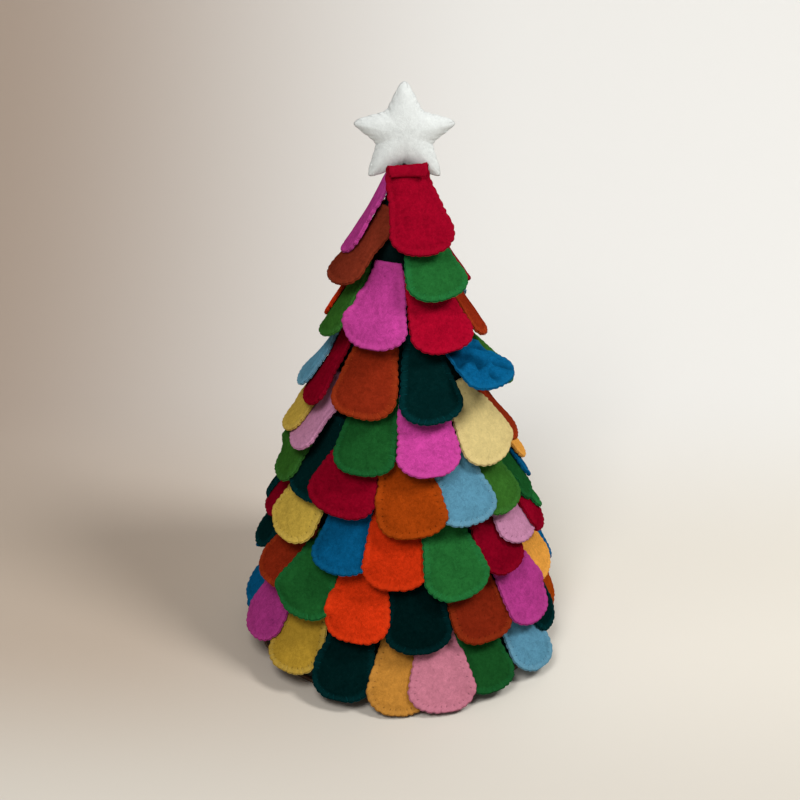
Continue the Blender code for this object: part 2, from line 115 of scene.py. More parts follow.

# Rows from the tip down. Each has its petals' stand off the cone at the front,
# the flank and the back, then the petals seen from the front, then the colours
# at the back. A seen petal has its colour, its azimuth in degrees, its tip's
# height in millimetres, whether its right edge lies over the next petal, and
# its changes
# Tones under one, most of them in the lower rows, darken those petals: partly their felt's own
# colour, partly painted shade.
ROWS = (
    ((1.45, 1.45, 1.45), (
        ("magenta", -97, 316, 0, {"stand": 0.44, "twist": -4, "top": 8 * MM, "tone": 0.9,
                                  "wave": 0.3, "flatness": 0.1, "length": 1.10}),
        ("red", 6, 330, 1, FOLDED),
        ("lilac", 168, 331, 0, {"stand": 0.6})),
     ()),
    ((1.15, 1.15, 1.15), (
        ("brown", -57, 303, 0, {"twist": 6, "lean": -13, "stand": 1.15, "top": 9.5 * MM}),
        ("green", 38, 298, 1, {"width": 1.10, "tone": 1}),
        ("crimson", 109, 291, 0, {"stand": 0.65, "wave": 0.4})),
     ("mustard",)),
    ((1, 1, 1), (
        ("orange_red", -114, 260, 1, {"stand": 0.8}),
        ("leaf_green", -75, 260, 0, {"twist": 9}),
        ("magenta", -23, 264, 0, {"width": 1.03, "length": 0.95, "tone": 0.93}),
        ("red", 34, 260, 1, {"width": 1.13, "tone": 1.04}),
        ("rust", 96, 252, 0, {"stand": 0.9})),
     ("light_blue", "dark_green")),
    ((1, 1, 1), (
        ("light_blue", -98, 209, 1, {"stand": 1.1, "flatness": 0.5}),
        ("crimson", -72, 206, 0, {"twist": 13, "stand": 0.9, "flatness": 0.35}),
        ("rust", -26, 214.5, 1, {"width": 1.08, "lean": -3}),
        ("dark_green", 19, 211.5, 0, {"width": 1.03}),
        ("blue", 54, 236.5, 1, LIFTED), ("leaf_green", 97, 213, 0, {"stand": 1.45})),
     ("pale_yellow", "orange_red", "magenta")),
    ((1, 1, 1), (
        ("blue", -120, 180, 0, {}), ("yellow", -88, 175, 1, {"stand": 1.15}),
        ("lilac", -61, 174, 1, {"twist": 12, "lean": -11, "stand": 1.12, "flatness": 0.4}),
        ("green", -20, 174, 0, {"width": 1.05, "tone": 0.72}),
        ("magenta", 15, 174.5, 1, {"width": 1.05}),
        ("pale_yellow", 53, 170, 1, {"lean": 4, "width": 1.06, "tone": 0.9}),
        ("rust", 84, 171, 1, {"twist": -6}), ("mustard", 107, 138, 0, {})),
     ("dark_green", "pink", "light_blue")),
    ((1, 1, 1), (
        ("orange_red", -102, 157, 0, {}), ("leaf_green", -78, 143, 1, {"stand": 1.1}),
        ("dark_green", -52, 143, 0, {}), ("crimson", -28, 141, 0, {"lean": -4, "width": 1.16}),
        ("orange_brown", 1, 131, 1, {"lean": 5, "width": 1.08, "tone": 0.9, **PRICKED}),
        ("light_blue", 32, 133.5, 1, {"tone": 0.88, **PRICKED}), ("leaf_green", 55, 131.5, 0, {}),
        ("green", 84, 120, 0, {"stand": 0.9, "tone": 0.6}), ("blue", 105, 122, 0, {"stand": 0.9})),
     ("magenta", "yellow", "red", "lilac", "rust")),
    ((0.9, 1.15, 0.9), (
        ("crimson", -84, 107, 0, {"stand": 0.95}),
        ("yellow", -57, 109, 1, {"lean": -1, "width": 1.13, "tone": 1.1, **PRICKED}),
        ("blue", -28, 99, 0, {"width": 1.04, "tone": 0.88}),
        ("orange_red", -3, 92.5, 0, {"width": 1.04, "tone": 0.8}),
        ("green", 22, 82, 1, {"lean": 5, "width": 1.05}),
        ("crimson", 46, 90, 0, {"lean": 5, "tone": 0.84}),
        ("lilac", 61, 104, 0, {"lean": 3, "tone": 0.85, **PRICKED}), ("crimson", 80, 95, 0, {})),
     ("green", "light_blue", "orange_brown", "magenta", "dark_green", "pale_yellow",
      "blue", "red", "dark_green")),
    ((0.9, 1.2, 0.8), (
        ("dark_green", -87, 77, 0, {"stand": 1.1}), ("rust", -58, 71.5, 0, {"lean": -6}),
        ("green", -40, 59.5, 0, {"lean": -4, "tone": 0.85}),
        ("orange_red", -18, 52, 1, {"width": 1.06}),
        ("dark_green", 6, 45.5, 1, {"lean": 3, "width": 1.06, "tone": 0.6}),
        ("rust", 31, 46.5, 0, {"lean": 7, "width": 1.09, "tone": 0.74, **PRICKED}),
        ("magenta", 55, 44, 1, {"lean": 1, "tone": 0.76}),
        ("mustard", 76, 60, 1, {"stand": 0.85})),
     ("blue", "lilac", "green", "red", "yellow", "light_blue", "crimson", "mustard",
      "magenta", "blue")),
    ((1.15, 1.2, 0.45), (
        ("blue", -80, 31, 0, {"stand": 0.85}),
        ("magenta", -62, 25, 1, {"lean": -1, "width": 1.04, "tone": 0.76}),
        ("ochre", -42, 17, 0, {"width": 1, "tone": 0.78, **PRICKED}),
        ("dark_green", -21, 9, 0, {"tone": 0.8}),
        ("mustard", -1, 2.5, 0, {"lean": -2, "width": 0.96, "tone": 0.65, **PRICKED}),
        ("pink", 14, 3, 1, {"width": 1.05, "tone": 0.85, **PRICKED}),
        ("green", 31, 10, 0, {"lean": 3, "width": 0.97, "tone": 0.58}),
        ("light_blue", 51, 10, 0, {"lean": 3, "width": 0.90, "tone": 0.86, **PRICKED}),
        ("dark_green", 69, 20, 1, {"width": 0.90, "stand": 0.6}),
        ("orange_brown", 85, 20, 1, {"stand": 0.5})),
     ("crimson", "yellow", "green", "magenta", "pale_yellow", "dark_green",
      "red", "light_blue", "rust", "lilac", "green", "blue")),
)
# Azimuths from which a row's stand at the flank and at the back holds
FLANK = 60.0
BACK = 100.0
# The solids of the rows further down are one joined ring each
SINGLE_ROWS = 6
# Height of the back petals' tips in each row, in millimetres
BACK_TIPS = (328, 296, 262, 212, 172, 134, 95, 55, 10)

# One petal, flat
PETAL_LENGTH = 68.5 * MM
PETAL_WIDTH = 47.5 * MM
PETAL_END = 18.0 * MM
PETAL_HEM = 8.0 * MM
PETAL_SHOULDER = PETAL_LENGTH - PETAL_END
END_POWER = 2.2
# Its angle to the cone below the seam and at the tip
HANG_START = math.radians(12.0)
HANG_END = math.radians(25.0)
# How much of its room in the row a sewn end fills, and the widest room in degrees
TOP_FILL_SHARE = 0.88
WIDEST_ROOM = 76.0
FULL_TURN = 360.0


def length_setting(name, description, default):
    return FloatProperty(name=name, description=description, default=default,
                         unit="LENGTH", subtype="DISTANCE", precision=5)


def colour_setting(name, description, default):
    return FloatVectorProperty(name=name, description=description, default=default,
                               subtype="COLOR", size=3)


class FeltTreeSettings(PropertyGroup):
    """Sizes and colours that a maker would change."""

    stitches: IntProperty(name="Stitches", description="Blanket stitches round one petal",
                          default=30, min=10, max=60)
    thread_radius: length_setting("Thread radius", "Half the sewing thread's thickness", 0.30 * MM)
    stitch_depth: length_setting("Stitch depth", "How far in the needle goes", 4.4 * MM)
    scallop: length_setting("Scallop", "How far each stitch pulls the edge in", 0.85 * MM)
    wave: length_setting("Wave", "How uneven the hand sewn petals are", 0.9 * MM)
    star_pressure: FloatProperty(name="Star filling", description="Pressure of the star's wadding",
                                 default=3.0, min=0.0)
    cover_colour: colour_setting("Cover", "The cone's felt cover", (0.002, 0.007, 0.007))
    star_colour: colour_setting("Star", "The star's felt", (0.600, 0.630, 0.625))
    board_colour: colour_setting("Board", "The base board", (0.090, 0.045, 0.022))
    floor_colour: colour_setting("Floor", "The floor's middle", (0.700, 0.672, 0.612))
    show_floor: BoolProperty(name="Floor", description="Make the floor and backdrop", default=True)


# Shader helpers


class Graph:
    """Adds nodes to a tree. Each input is a value or another node's output."""

    def __init__(self, tree):
        self.tree = tree

    def fill(self, node, inputs):
        for key, value in dict(inputs).items():
            if isinstance(value, bpy.types.NodeSocket):
                self.tree.links.new(value, node.inputs[key])
            else:
                node.inputs[key].default_value = value

    def node(self, kind, inputs=(), **settings):
        node = self.tree.nodes.new(kind)
        for key, value in settings.items():
            setattr(node, key, value)
        self.fill(node, inputs)
        return node

    def place(self):
        return self.node("ShaderNodeTexCoord").outputs["Object"]

    def mix(self, factor, a, b):
        return self.node("ShaderNodeMix", {0: factor, 6: a, 7: b}, data_type="RGBA").outputs[2]

    def math(self, operation, a, b):
        return self.node("ShaderNodeMath", {0: a, 1: b}, operation=operation).outputs[0]

    def scaled(self, vector, scale):
        return self.node("ShaderNodeVectorMath", {0: vector, "Scale": scale},
                         operation="SCALE").outputs[0]

    def weighted(self, parts, centre=0.0):
        """Sum of values, each taken off a centre and times its weight."""
        total = 0.0
        for value, weight in parts:
            part = self.math("MULTIPLY", self.math("SUBTRACT", value, centre), weight)
            total = self.math("ADD", total, part)
        return total

    def noise(self, vector, scale, detail, roughness, distortion):
        return self.node("ShaderNodeTexNoise", {
            "Vector": vector, "Scale": scale, "Detail": detail, "Roughness": roughness,
            "Distortion": distortion}).outputs["Fac"]

    def remap(self, value, low, high, to_low=0.0, to_high=1.0, **settings):
        return self.node("ShaderNodeMapRange", enumerate((value, low, high, to_low, to_high)),
                         **settings).outputs["Result"]

    def relief(self, height, strength, distance, **settings):
        return self.node("ShaderNodeBump", {
            "Height": height, "Strength": strength, "Distance": distance},
            **settings).outputs["Normal"]


def opaque(colour):
    return (*colour, 1.0)


def new_material(name, colour, roughness):
    """A material, the graph of its nodes, and its shader."""
    material = bpy.data.materials.new(name)
    material.use_nodes = True
    material.diffuse_color = opaque(colour)
    graph = Graph(material.node_tree)
    shader = material.node_tree.nodes["Principled BSDF"]
    graph.fill(shader, {"Base Color": opaque(colour), "Roughness": roughness})
    return material, graph, shader


# Noises in the felt: scale per metre, detail, roughness and distortion
CLOUDS = (75.0, 3.0, 0.6, 0.4)
TUFTS = (330.0, 3.0, 0.65, 0.8)
FIBRES = (2600.0, 3.0, 0.7, 1.5)
GRAIN = (1500.0, 2.0, 0.7, 0.6)
FIBRE_WAY = {"Rotation": (0.5, 0.9, 0.3), "Scale": (1.0, 0.22, 0.5)}
PALE_HAIR = (0.62, 0.60, 0.56, 1.0)
# Painted shade in needle holes: how dark a hole makes the felt
HOLE_SHADE_TONE = 0.32
FELT_INPUTS = (("Felt", "Color"), ("Thread", "Color"), ("Contrast", "Float"), ("Rim", "Float"),
               ("Sewn", "Float"), ("Pricked", "Float"), ("Tone", "Float"))


def felt_group():
    """Shared look of pressed wool: cloudy patches, fibres, pale flecks and a nap."""
    group = bpy.data.node_groups.get("wool_felt")
    if group:
        return group
    group = bpy.data.node_groups.new("wool_felt", "ShaderNodeTree")
    make = group.interface.new_socket
    for name, kind in FELT_INPUTS:
        make(name, in_out="INPUT", socket_type=f"NodeSocket{kind}")
    make("Colour", in_out="OUTPUT", socket_type="NodeSocketColor")
    make("Height", in_out="OUTPUT", socket_type="NodeSocketFloat")
    graph = Graph(group)
    given = graph.node("NodeGroupInput").outputs

    place = graph.place()
    clouds, tufts = graph.noise(place, *CLOUDS), graph.noise(place, *TUFTS)
    turned = graph.node("ShaderNodeMapping", {"Vector": place, **FIBRE_WAY}).outputs[0]
    fibres, grain = graph.noise(turned, *FIBRES), graph.noise(place, *GRAIN)

    # Patches and fibres swing the colour round its own value
    swing = graph.weighted(((clouds, 0.60), (tufts, 1.10), (fibres, 1.15), (grain, 0.45)), 0.5)
    swing = graph.math("MULTIPLY", graph.math("MULTIPLY", swing, given["Contrast"]), 0.9)
    lit = graph.scaled(given["Felt"], graph.math("ADD", swing, 1.0))
    # Pale loose hairs lie over the felt
    hairs = graph.math("MULTIPLY", graph.remap(fibres, 0.60, 0.78), graph.remap(tufts, 0.42, 0.62))
    pale = graph.mix(0.35, given["Felt"], PALE_HAIR)
    felt = graph.mix(graph.math("MULTIPLY", hairs, 0.12), lit, pale)
    # The rim is compressed and covered by thread. On the cone cover the same mix is a painted
    # highlight on the hem's cut edge
    rim = graph.math("MULTIPLY", given["Rim"], graph.remap(tufts, 0.30, 0.60, 0.55, 1.0))
    felt = graph.mix(rim, felt, given["Thread"])
    twisted = graph.scaled(given["Thread"], graph.remap(grain, 0.3, 0.7, 0.75, 1.25))
    colour = graph.mix(given["Sewn"], felt, twisted)
    # Painted shade: needle holes are darkened, where shade falls into them
    colour = graph.mix(given["Pricked"], colour, graph.scaled(colour, HOLE_SHADE_TONE))
    # The tone carries each petal's own tone and the painted shade of its dents
    graph.node("NodeGroupOutput", {
        "Colour": graph.scaled(colour, given["Tone"]),
        "Height": graph.weighted(((tufts, 1.0), (fibres, 0.8), (grain, 0.5)))})
    return group


def felt_material(name, colour, thread, contrast=1.0, rim=0.35, sheen=0.15, bump=0.5):
    """Felt that reads where it is sewn from the piece's own sewing attribute, which also carries
    painted shade in needle holes and dents, and the cover's painted hem highlight.
    """
    material, graph, shader = new_material(name, colour, 0.95)
    marks = graph.node("ShaderNodeAttribute", attribute_name="sewing").outputs
    at_rim, sewn, pricked = graph.node("ShaderNodeSeparateColor", {0: marks["Color"]}).outputs
    look = graph.node("ShaderNodeGroup", {
        "Felt": opaque(colour), "Thread": opaque(thread), "Contrast": contrast,
        "Rim": graph.math("MULTIPLY", at_rim, rim), "Sewn": sewn, "Pricked": pricked,
        "Tone": marks["Alpha"]}, node_tree=felt_group()).outputs
    graph.fill(shader, {
        "Specular IOR Level": 0.0, "Sheen Weight": sheen, "Sheen Tint": opaque(thread),
        "Sheen Roughness": 0.45, "Base Color": look["Colour"],
        "Normal": graph.relief(look["Height"], bump, 0.45 * MM)})
    return material


def board_material(colour):
    """Brown hardboard: pressed fibres, shinier here and there."""
    material, graph, shader = new_material("hardboard_look", colour, 0.75)
    place = graph.place()
    flecks = graph.noise(place, 900.0, 4.0, 0.7, 1.0)
    clouds = graph.noise(place, 60.0, 3.0, 0.6, 0.0)
    dark, light = (opaque(share * c for c in colour) for share in (0.55, 1.75))
    both = graph.weighted(((flecks, 0.7), (clouds, 0.5)))
    graph.fill(shader, {
        "Base Color": graph.mix(graph.remap(both, 0.42, 0.78), dark, light),
        "Roughness": graph.remap(flecks, 0.3, 0.7, 0.62, 0.85),
        "Normal": graph.relief(flecks, 0.4, 0.2 * MM)})
    return material


def foam_material():
    """Cut foam: packed beads with darker gaps."""
    material, graph, shader = new_material("foam_look", (0.70, 0.69, 0.65), 0.9)
    beads = graph.node("ShaderNodeTexVoronoi", {"Vector": graph.place(), "Scale": 330.0})
    distance = beads.outputs["Distance"]
    graph.fill(shader, {
        "Base Color": graph.mix(graph.remap(distance, 0.25, 0.75), (0.74, 0.73, 0.70, 1.0),
                                (0.50, 0.49, 0.46, 1.0)),
        "Normal": graph.relief(distance, 0.6, 0.4 * MM, invert=True)})
    return material


# Mesh helpers


def fill_mesh(mesh, points, faces, marks=None):
    """Points and faces, and the marks that the felt's look reads."""
    mesh.clear_geometry()
    mesh.from_pydata(points.tolist(), [], faces)
    mesh.update()
    if marks is not None:
        layer = mesh.attributes.new("sewing", "FLOAT_COLOR", "POINT")
        flat = np.ones((len(points), 4), np.float32)
        flat[:, :marks.shape[1]] = marks
        layer.data.foreach_set("color", flat.ravel())
    mesh.shade_smooth()


def finish_piece(name, points, faces, material, marks=None):
    """An object at the origin, from rows of points and a list of faces."""
    mesh = bpy.data.meshes.new(name)
    fill_mesh(mesh, points, faces, marks)
    mesh.materials.append(material)
    item = bpy.data.objects.new(name, mesh)
    bpy.context.scene.collection.objects.link(item)
    return item


def read_points(mesh):
    flat = np.empty(len(mesh.vertices) * 3)
    mesh.vertices.foreach_get("co", flat)
    return flat.reshape(-1, 3)


def write_points(mesh, points):
    mesh.vertices.foreach_set("co", points.ravel())
    mesh.update()


def dress(item, material):
    item.data.materials.clear()
    item.data.materials.append(material)


def select_parts(item, kind, test):
    """Selects the item's edges or faces that pass a test, in edit mode."""
    bpy.ops.mesh.select_mode(type=kind)
    bpy.ops.mesh.select_all(action="DESELECT")
    shape = bmesh.from_edit_mesh(item.data)
    for part in shape.edges if kind == "EDGE" else shape.faces:
        part.select_set(test(part))
    bmesh.update_edit_mesh(item.data)


def unit(ways):
    """Each row scaled to length one."""
    return ways / np.linalg.norm(ways, axis=-1, keepdims=True)


def band(low, high, count):
    """Faces between two closed rings of points, from where each ring starts."""
    steps = [(step, (step + 1) % count) for step in range(count)]
    return [(low + a, low + b, high + b, high + a) for a, b in steps]


def ring_start(side, ring, rings, count):
    """First point of a ring of a two-sided shell whose outer ring is shared.

    The front's other rings come next, then the back's.
    """
    return (ring + (rings - 1 if side and ring else 0)) * count


def side_bands(side, rings, count):
    """Faces of all bands of one side of such a shell."""
    faces = []
    for ring in range(rings - 1):
        faces += band(ring_start(side, ring, rings, count),
                      ring_start(side, ring + 1, rings, count), count)
    return faces


def flipped(faces):
    return [face[::-1] for face in faces]


def smooth_step(value, low, high):
    share = np.clip((value - low) / (high - low), 0.0, 1.0)
    return share * share * (3.0 - 2.0 * share)


# A thread's cross-section, its thinner ends, and what it says to the felt's look
THREAD_SIDES = 4
THREAD_END = 0.6
THREAD_MARK = (1.0, 1.0, 0.0)


class Sewn:
    """A sewn piece's points, faces and marks, as threads are added to it."""

    def __init__(self, points, faces, marks):
        self.points, self.faces, self.marks = [points], list(faces), [marks]
        self.total = len(points)

    def add_thread(self, line, side, normal, radius):
        """Adds a thread along a line, with its two ends shut.

        side and normal hold, for each point of the line, the two directions
        that span the thread's cross-section.
        """
        turns = np.arange(THREAD_SIDES) * math.tau / THREAD_SIDES
        radii = np.full(len(line), radius)
        radii[[0, -1]] *= THREAD_END
        rings = (line[:, None] + radii[:, None, None] * (
            np.cos(turns)[None, :, None] * side[:, None]
            + np.sin(turns)[None, :, None] * normal[:, None]))
        faces = []
        for ring in range(len(line) - 1):
            faces += band(ring * THREAD_SIDES, (ring + 1) * THREAD_SIDES, THREAD_SIDES)
        faces.append(tuple(reversed(range(THREAD_SIDES))))
        last = (len(line) - 1) * THREAD_SIDES
        faces.append(tuple(range(last, last + THREAD_SIDES)))
        self.faces += [tuple(self.total + i for i in face) for face in faces]
        self.points.append(rings.reshape(-1, 3))
        self.marks.append(np.tile(THREAD_MARK, (len(line) * THREAD_SIDES, 1)))
        self.total += len(line) * THREAD_SIDES

    def arrays(self):
        return np.concatenate(self.points), self.faces, np.concatenate(self.marks)


def tangents(line):
    return unit(np.gradient(line, axis=0))


# A flat petal: x across, y along from the sewn edge, z out of the felt

TOP_STEPS = 10
STITCH_FRACTIONS = (0.0, 0.13, 0.31, 0.50, 0.69, 0.87)
# Rings from the edge inwards: inset and half thickness in millimetres
EDGE_RINGS = ((0.40, 0.0), (0.10, 0.70), (0.0, 1.15), (0.55, 1.50), (1.7, 1.62),
              (3.1, 1.50), (4.3, 1.25), (5.6, 1.72))
NEEDLE_RING = 6
NEEDLE_HOLE = 0.35 * MM
# How far a hole strays, as a share of the pitch, how hard each stitch pulls,
# and how the pinch fades on both sides of it
HOLE_DRIFT = 0.20
STITCH_PULLS = (0.35, 1.25)
PINCH_REACH = 0.42
PINCH_POWER = 1.4
PINCH_FLATTENS = 0.34
RIM_REACH = 4.9
# A stitch's way from its hole's side to the edge: inset and height in millimetres
LOOP = ((3.0, 1.08), (1.6, 1.16), (0.35, 1.08), (-0.20, 0.72), (-0.36, 0.0))
TOP_STITCH = ((3.0, 0.9), (3.4, 1.6), (4.6, 1.8), (5.8, 1.9), (6.2, 1.2))
# Rings further in: share of the way to the petal's middle line, half thickness
INNER_RINGS = ((0.22, 2.12), (0.48, 2.42), (0.72, 2.55), (0.94, 2.60))
CREASED_RINGS = tuple((share, np.interp(share, *zip((0.0, 1.72), *INNER_RINGS)))
                      for share in np.linspace(0.08, 0.95, 12))


def half_width(along, half_top):
    """Half the petal's width, an array for an array of distances along it."""
    half = PETAL_WIDTH / 2
    side = half_top + (half - half_top) * np.clip(along, 0, None) / PETAL_SHOULDER
    share = np.clip((along - PETAL_SHOULDER) / PETAL_END, 0.0, 1.0)
    end = half * np.power(np.clip(1 - share ** END_POWER, 0.0, 1.0), 1 / END_POWER)
    return np.where(along <= PETAL_SHOULDER, side, end)


def petal_border(half_top, stitches, chance):
    """Points round the petal and how much a stitch pinches each."""
    turn = np.sin(np.linspace(0, math.pi / 2, 60))
    along = np.concatenate([np.linspace(0, PETAL_SHOULDER, 40)[:-1],
                            PETAL_SHOULDER + PETAL_END * turn])
    right = np.stack([half_width(along, half_top), along], axis=1)
    left = right[::-1][1:] * (-1, 1)
    path = np.concatenate([right, left])
    lengths = np.concatenate([[0], np.cumsum(np.linalg.norm(np.diff(path, axis=0), axis=1))])
    pitch = lengths[-1] / (stitches + 1)
    holes = pitch * np.arange(stitches + 2)
    holes[1:-1] += chance.uniform(-1, 1, stitches) * HOLE_DRIFT * pitch
    pulls = chance.uniform(*STITCH_PULLS, stitches + 2)
    spots, pinch = [], []
    for start, end, pull, next_pull in zip(holes, holes[1:], pulls, pulls[1:]):
        for fraction in STITCH_FRACTIONS:
            spots.append(start + fraction * (end - start))
            nearest = min(fraction, 1 - fraction)
            strength = pull if fraction < 0.5 else next_pull
            pinch.append(strength * max(0.0, 1 - nearest / PINCH_REACH) ** PINCH_POWER)
    sides = np.stack([np.interp(spots, lengths, path[:, k]) for k in (0, 1)], axis=1)
    # Cut by hand, no petal is quite even
    turn = math.tau * np.array(spots) / lengths[-1]
    uneven = sum(chance.uniform(-0.45, 0.45) * np.sin(k * turn + chance.uniform(0, math.tau))
                 for k in (1, 2, 3, 5)) * MM
    ways = unit(sides - np.array((0.0, PETAL_SHOULDER - 8 * MM)))
    free = smooth_step(sides[:, 1], PETAL_HEM, 30 * MM)
    sides += ways * (uneven * free)[:, None]
    top = np.stack([np.linspace(-half_top, half_top, TOP_STEPS + 1)[:-1],
                    np.zeros(TOP_STEPS)], axis=1)
    points = np.concatenate([top, sides])
    pinch = np.concatenate([np.zeros(TOP_STEPS), pinch])
    pinch[TOP_STEPS] = 0.0
    return points, pinch


def inward(points):
    """Unit way inwards from each border point, and how far the middle line is."""
    middle = np.stack([np.zeros(len(points)),
                       np.clip(points[:, 1], 12 * MM, PETAL_SHOULDER - 3 * MM)], axis=1)
    way = middle - points
    distance = np.linalg.norm(way, axis=1)
    return way / distance[:, None], distance


def petal_faces(count, inner_rings):
    """Faces of a petal whose border has count points: front, back and rim."""
    rings = len(EDGE_RINGS) + inner_rings
    start = TOP_STEPS // 2
    faces = []
    for side in (0, 1):
        made = side_bands(side, rings, count)
        last = ring_start(side, rings - 1, rings, count)
        # The innermost ring closes over the middle line, each step onto its mirror image
        for step in range(start, start + count // 2):
            corners = (step, step + 1, TOP_STEPS - step - 1, TOP_STEPS - step)
            made.append(tuple(dict.fromkeys(last + corner % count for corner in corners)))
        faces += made if side else flipped(made)
    return faces


FACE_CACHE = {}


def flat_petal(half_top, holes, settings, chance, inner_rings):
    """A flat petal's points, faces and sewing marks, stitches included."""
    border, pinch = petal_border(half_top, settings.stitches, chance)
    count = len(border)
    way, reach = inward(border)
    fuzz = chance.uniform(-0.16, 0.16, count) * MM
    swell = 0.10 * chance.uniform(-1, 1, count)
    is_hole = np.zeros(count)
    is_hole[TOP_STEPS + len(STITCH_FRACTIONS)::len(STITCH_FRACTIONS)] = 1.0
    last_inset = EDGE_RINGS[-1][0]
    fronts, marks = [], []
    for number, (inset, height) in enumerate(EDGE_RINGS):
        fade = 1.0 - inset / last_inset
        place = border + way * (inset * MM + fade * (settings.scallop * pinch + fuzz))[:, None]
        thick = height * MM * (1 - PINCH_FLATTENS * pinch * fade) * (1 + swell * fade)
        at_needle = is_hole * (number == NEEDLE_RING)
        rim = np.full(count, max(0.0, 1.0 - (inset / RIM_REACH) ** 4))
        fronts.append(np.column_stack([place, thick - NEEDLE_HOLE * at_needle]))
        marks.append(np.column_stack([rim, np.zeros(count), holes * at_needle]))
    for share, height in inner_rings:
        distance = last_inset * MM + share * (reach - last_inset * MM)
        fronts.append(np.column_stack([border + way * distance[:, None],
                                       np.full(count, height * MM)]))
        marks.append(np.zeros((count, 3)))
    back = [ring * (1, 1, -1) for ring in fronts[1:]]
    key = count, len(inner_rings)
    if key not in FACE_CACHE:
        FACE_CACHE[key] = petal_faces(*key)
    petal = Sewn(np.concatenate([*fronts, *back]), FACE_CACHE[key],
                 np.concatenate([*marks, *marks[1:]]))
    sew_border(petal, border, way, pinch, settings, chance)
    # Two stitches hold the top edge to the cone
    for share in (-0.45, 0.45):
        line = np.array([(share * half_top, y * MM, z * MM) for y, z in TOP_STITCH])
        side = np.tile((1.0, 0.0, 0.0), (len(line), 1))
        petal.add_thread(line, side, np.cross(side, tangents(line)), settings.thread_radius)
    return petal.arrays()


def sew_border(petal, border, way, pinch, settings, chance):
    """Blanket stitch: a loop over the edge at each hole, and the purl between them."""
    up = np.array((0.0, 0.0, 1.0))
    step = len(STITCH_FRACTIONS)
    for hole in range(TOP_STEPS + step, len(border), step):
        inner = np.array((*way[hole], 0.0))
        along_edge = np.array((-inner[1], inner[0], 0.0))
        lean_in = unit(inner + along_edge * chance.uniform(-0.22, 0.22))
        deep = settings.stitch_depth / MM * (1 + 0.12 * chance.uniform(-1, 1))
        start = np.array((*border[hole], 0.0)) + inner * settings.scallop * pinch[hole]
        profile = [(deep, 0.55), (deep - 0.5, 0.98), *LOOP]
        profile += [(d, -z) for d, z in profile[-2::-1]]
        line = np.array([start + lean_in * d * MM + up * z * MM for d, z in profile])
        side = np.tile(np.cross(up, lean_in), (len(line), 1))
        petal.add_thread(line, side, np.cross(tangents(line), side), settings.thread_radius)
        if hole + step < len(border):
            run = np.arange(hole, hole + step + 1)
            outset = 0.22 * MM - settings.scallop * pinch[run]
            lift = 0.12 * MM * np.sin(np.linspace(0, math.pi, step + 1))
            line = np.column_stack([border[run] - way[run] * outset[:, None], lift])
            side = np.column_stack([way[run], np.zeros(len(run))])
            petal.add_thread(line, side, np.tile(up, (len(run), 1)), settings.thread_radius)


# How a petal hangs on the cone


def cover_radius(height):
    return COVER_RADIUS - COVER_TAPER * (height - COVER_LOW.z)


GRID_ACROSS = np.linspace(-26.0, 26.0, 14) * MM
GRID_ALONG = np.linspace(0.0, 68.5, 21) * MM
CLEARANCE = 0.35 * MM
# Height of a petal's sewn end over its tip
SEWN_ABOVE_TIP = 58 * MM
# By how much petals differ by chance: width and tone as shares, lean and twist
# in degrees, and the tips at the back in millimetres
WIDTH_CHANCE = (0.98, 1.04)
TONE_CHANCE = (0.94, 1.06)
LEAN_CHANCE = 2.5
TWIST_CHANCE = 3.0
BACK_RISE = 1.4
GOLDEN_TURN = math.radians(137.5)
# Painted shade in needle holes, as painted on most petals
HOLE_SHADE_DEFAULT = 0.25
# Painted shade in pressed dents: how much darker they are painted
DENT_SHADE = 0.55
# A petal's curve across, as a share of the cone's, and where the cone is slim
FLATNESS = 0.9
SLIM_FLATNESS = 0.62
SLIM_RADIUS = 45 * MM
TIGHTEST_CURVE = 60.0
FOLDED_CURVES = (14.0, 0.35)
REACH = 20 * MM
PROBE_DEPTH = 8 * MM
# From a petal's middle surface to the cone, and to a petal that it rests on
SEWN_DEPTH = 2.0 * MM
REST_DEPTH = 1.9 * MM
DENT = 3.2 * MM
# The resting calculation: its rounds, how far a round evens the felt out, and
# how far it pulls the felt back to its own shape
REST_ROUNDS = 160
EVENING = 0.6
SPRING = 0.035
FOLD_ROLL = 4.0 * MM
FOLD_TURN = math.radians(200.0)


def spline_weights(place, line):
    """Index and four weights of a smooth curve through values on an even line."""
    spot = np.clip((place - line[0]) / (line[1] - line[0]), 0.0, len(line) - 1.0001)
    whole = spot.astype(int)
    t = spot - whole
    return whole, ((1 - t) ** 3 / 6, (3 * t ** 3 - 6 * t ** 2 + 4) / 6,
                   (-3 * t ** 3 + 3 * t ** 2 + 3 * t + 1) / 6, t ** 3 / 6)


def read_grid(grid, across, along):
    """Smooth value, at flat places, of a grid laid over the petal."""
    padded = np.pad(grid, 1, mode="edge")
    column, by_column = spline_weights(across, GRID_ACROSS)
    row, by_row = spline_weights(along, GRID_ALONG)
    total = np.zeros(len(across))
    for i in range(4):
        for j in range(4):
            total += by_row[i] * by_column[j] * padded[row + i, column + j]
    return total


def neighbour_mean(grid):
    padded = np.pad(grid, 1, mode="edge")
    return (padded[:-2, 1:-1] + padded[2:, 1:-1] + padded[1:-1, :-2] + padded[1:-1, 2:]) / 4


def merged(shells):
    """One tree of faces for several shells."""
    points, faces = [], []
    for more, quads in shells:
        faces += [tuple(len(points) + i for i in quad) for quad in quads]
        points += more.tolist()
    return BVHTree.FromPolygons(points, faces)


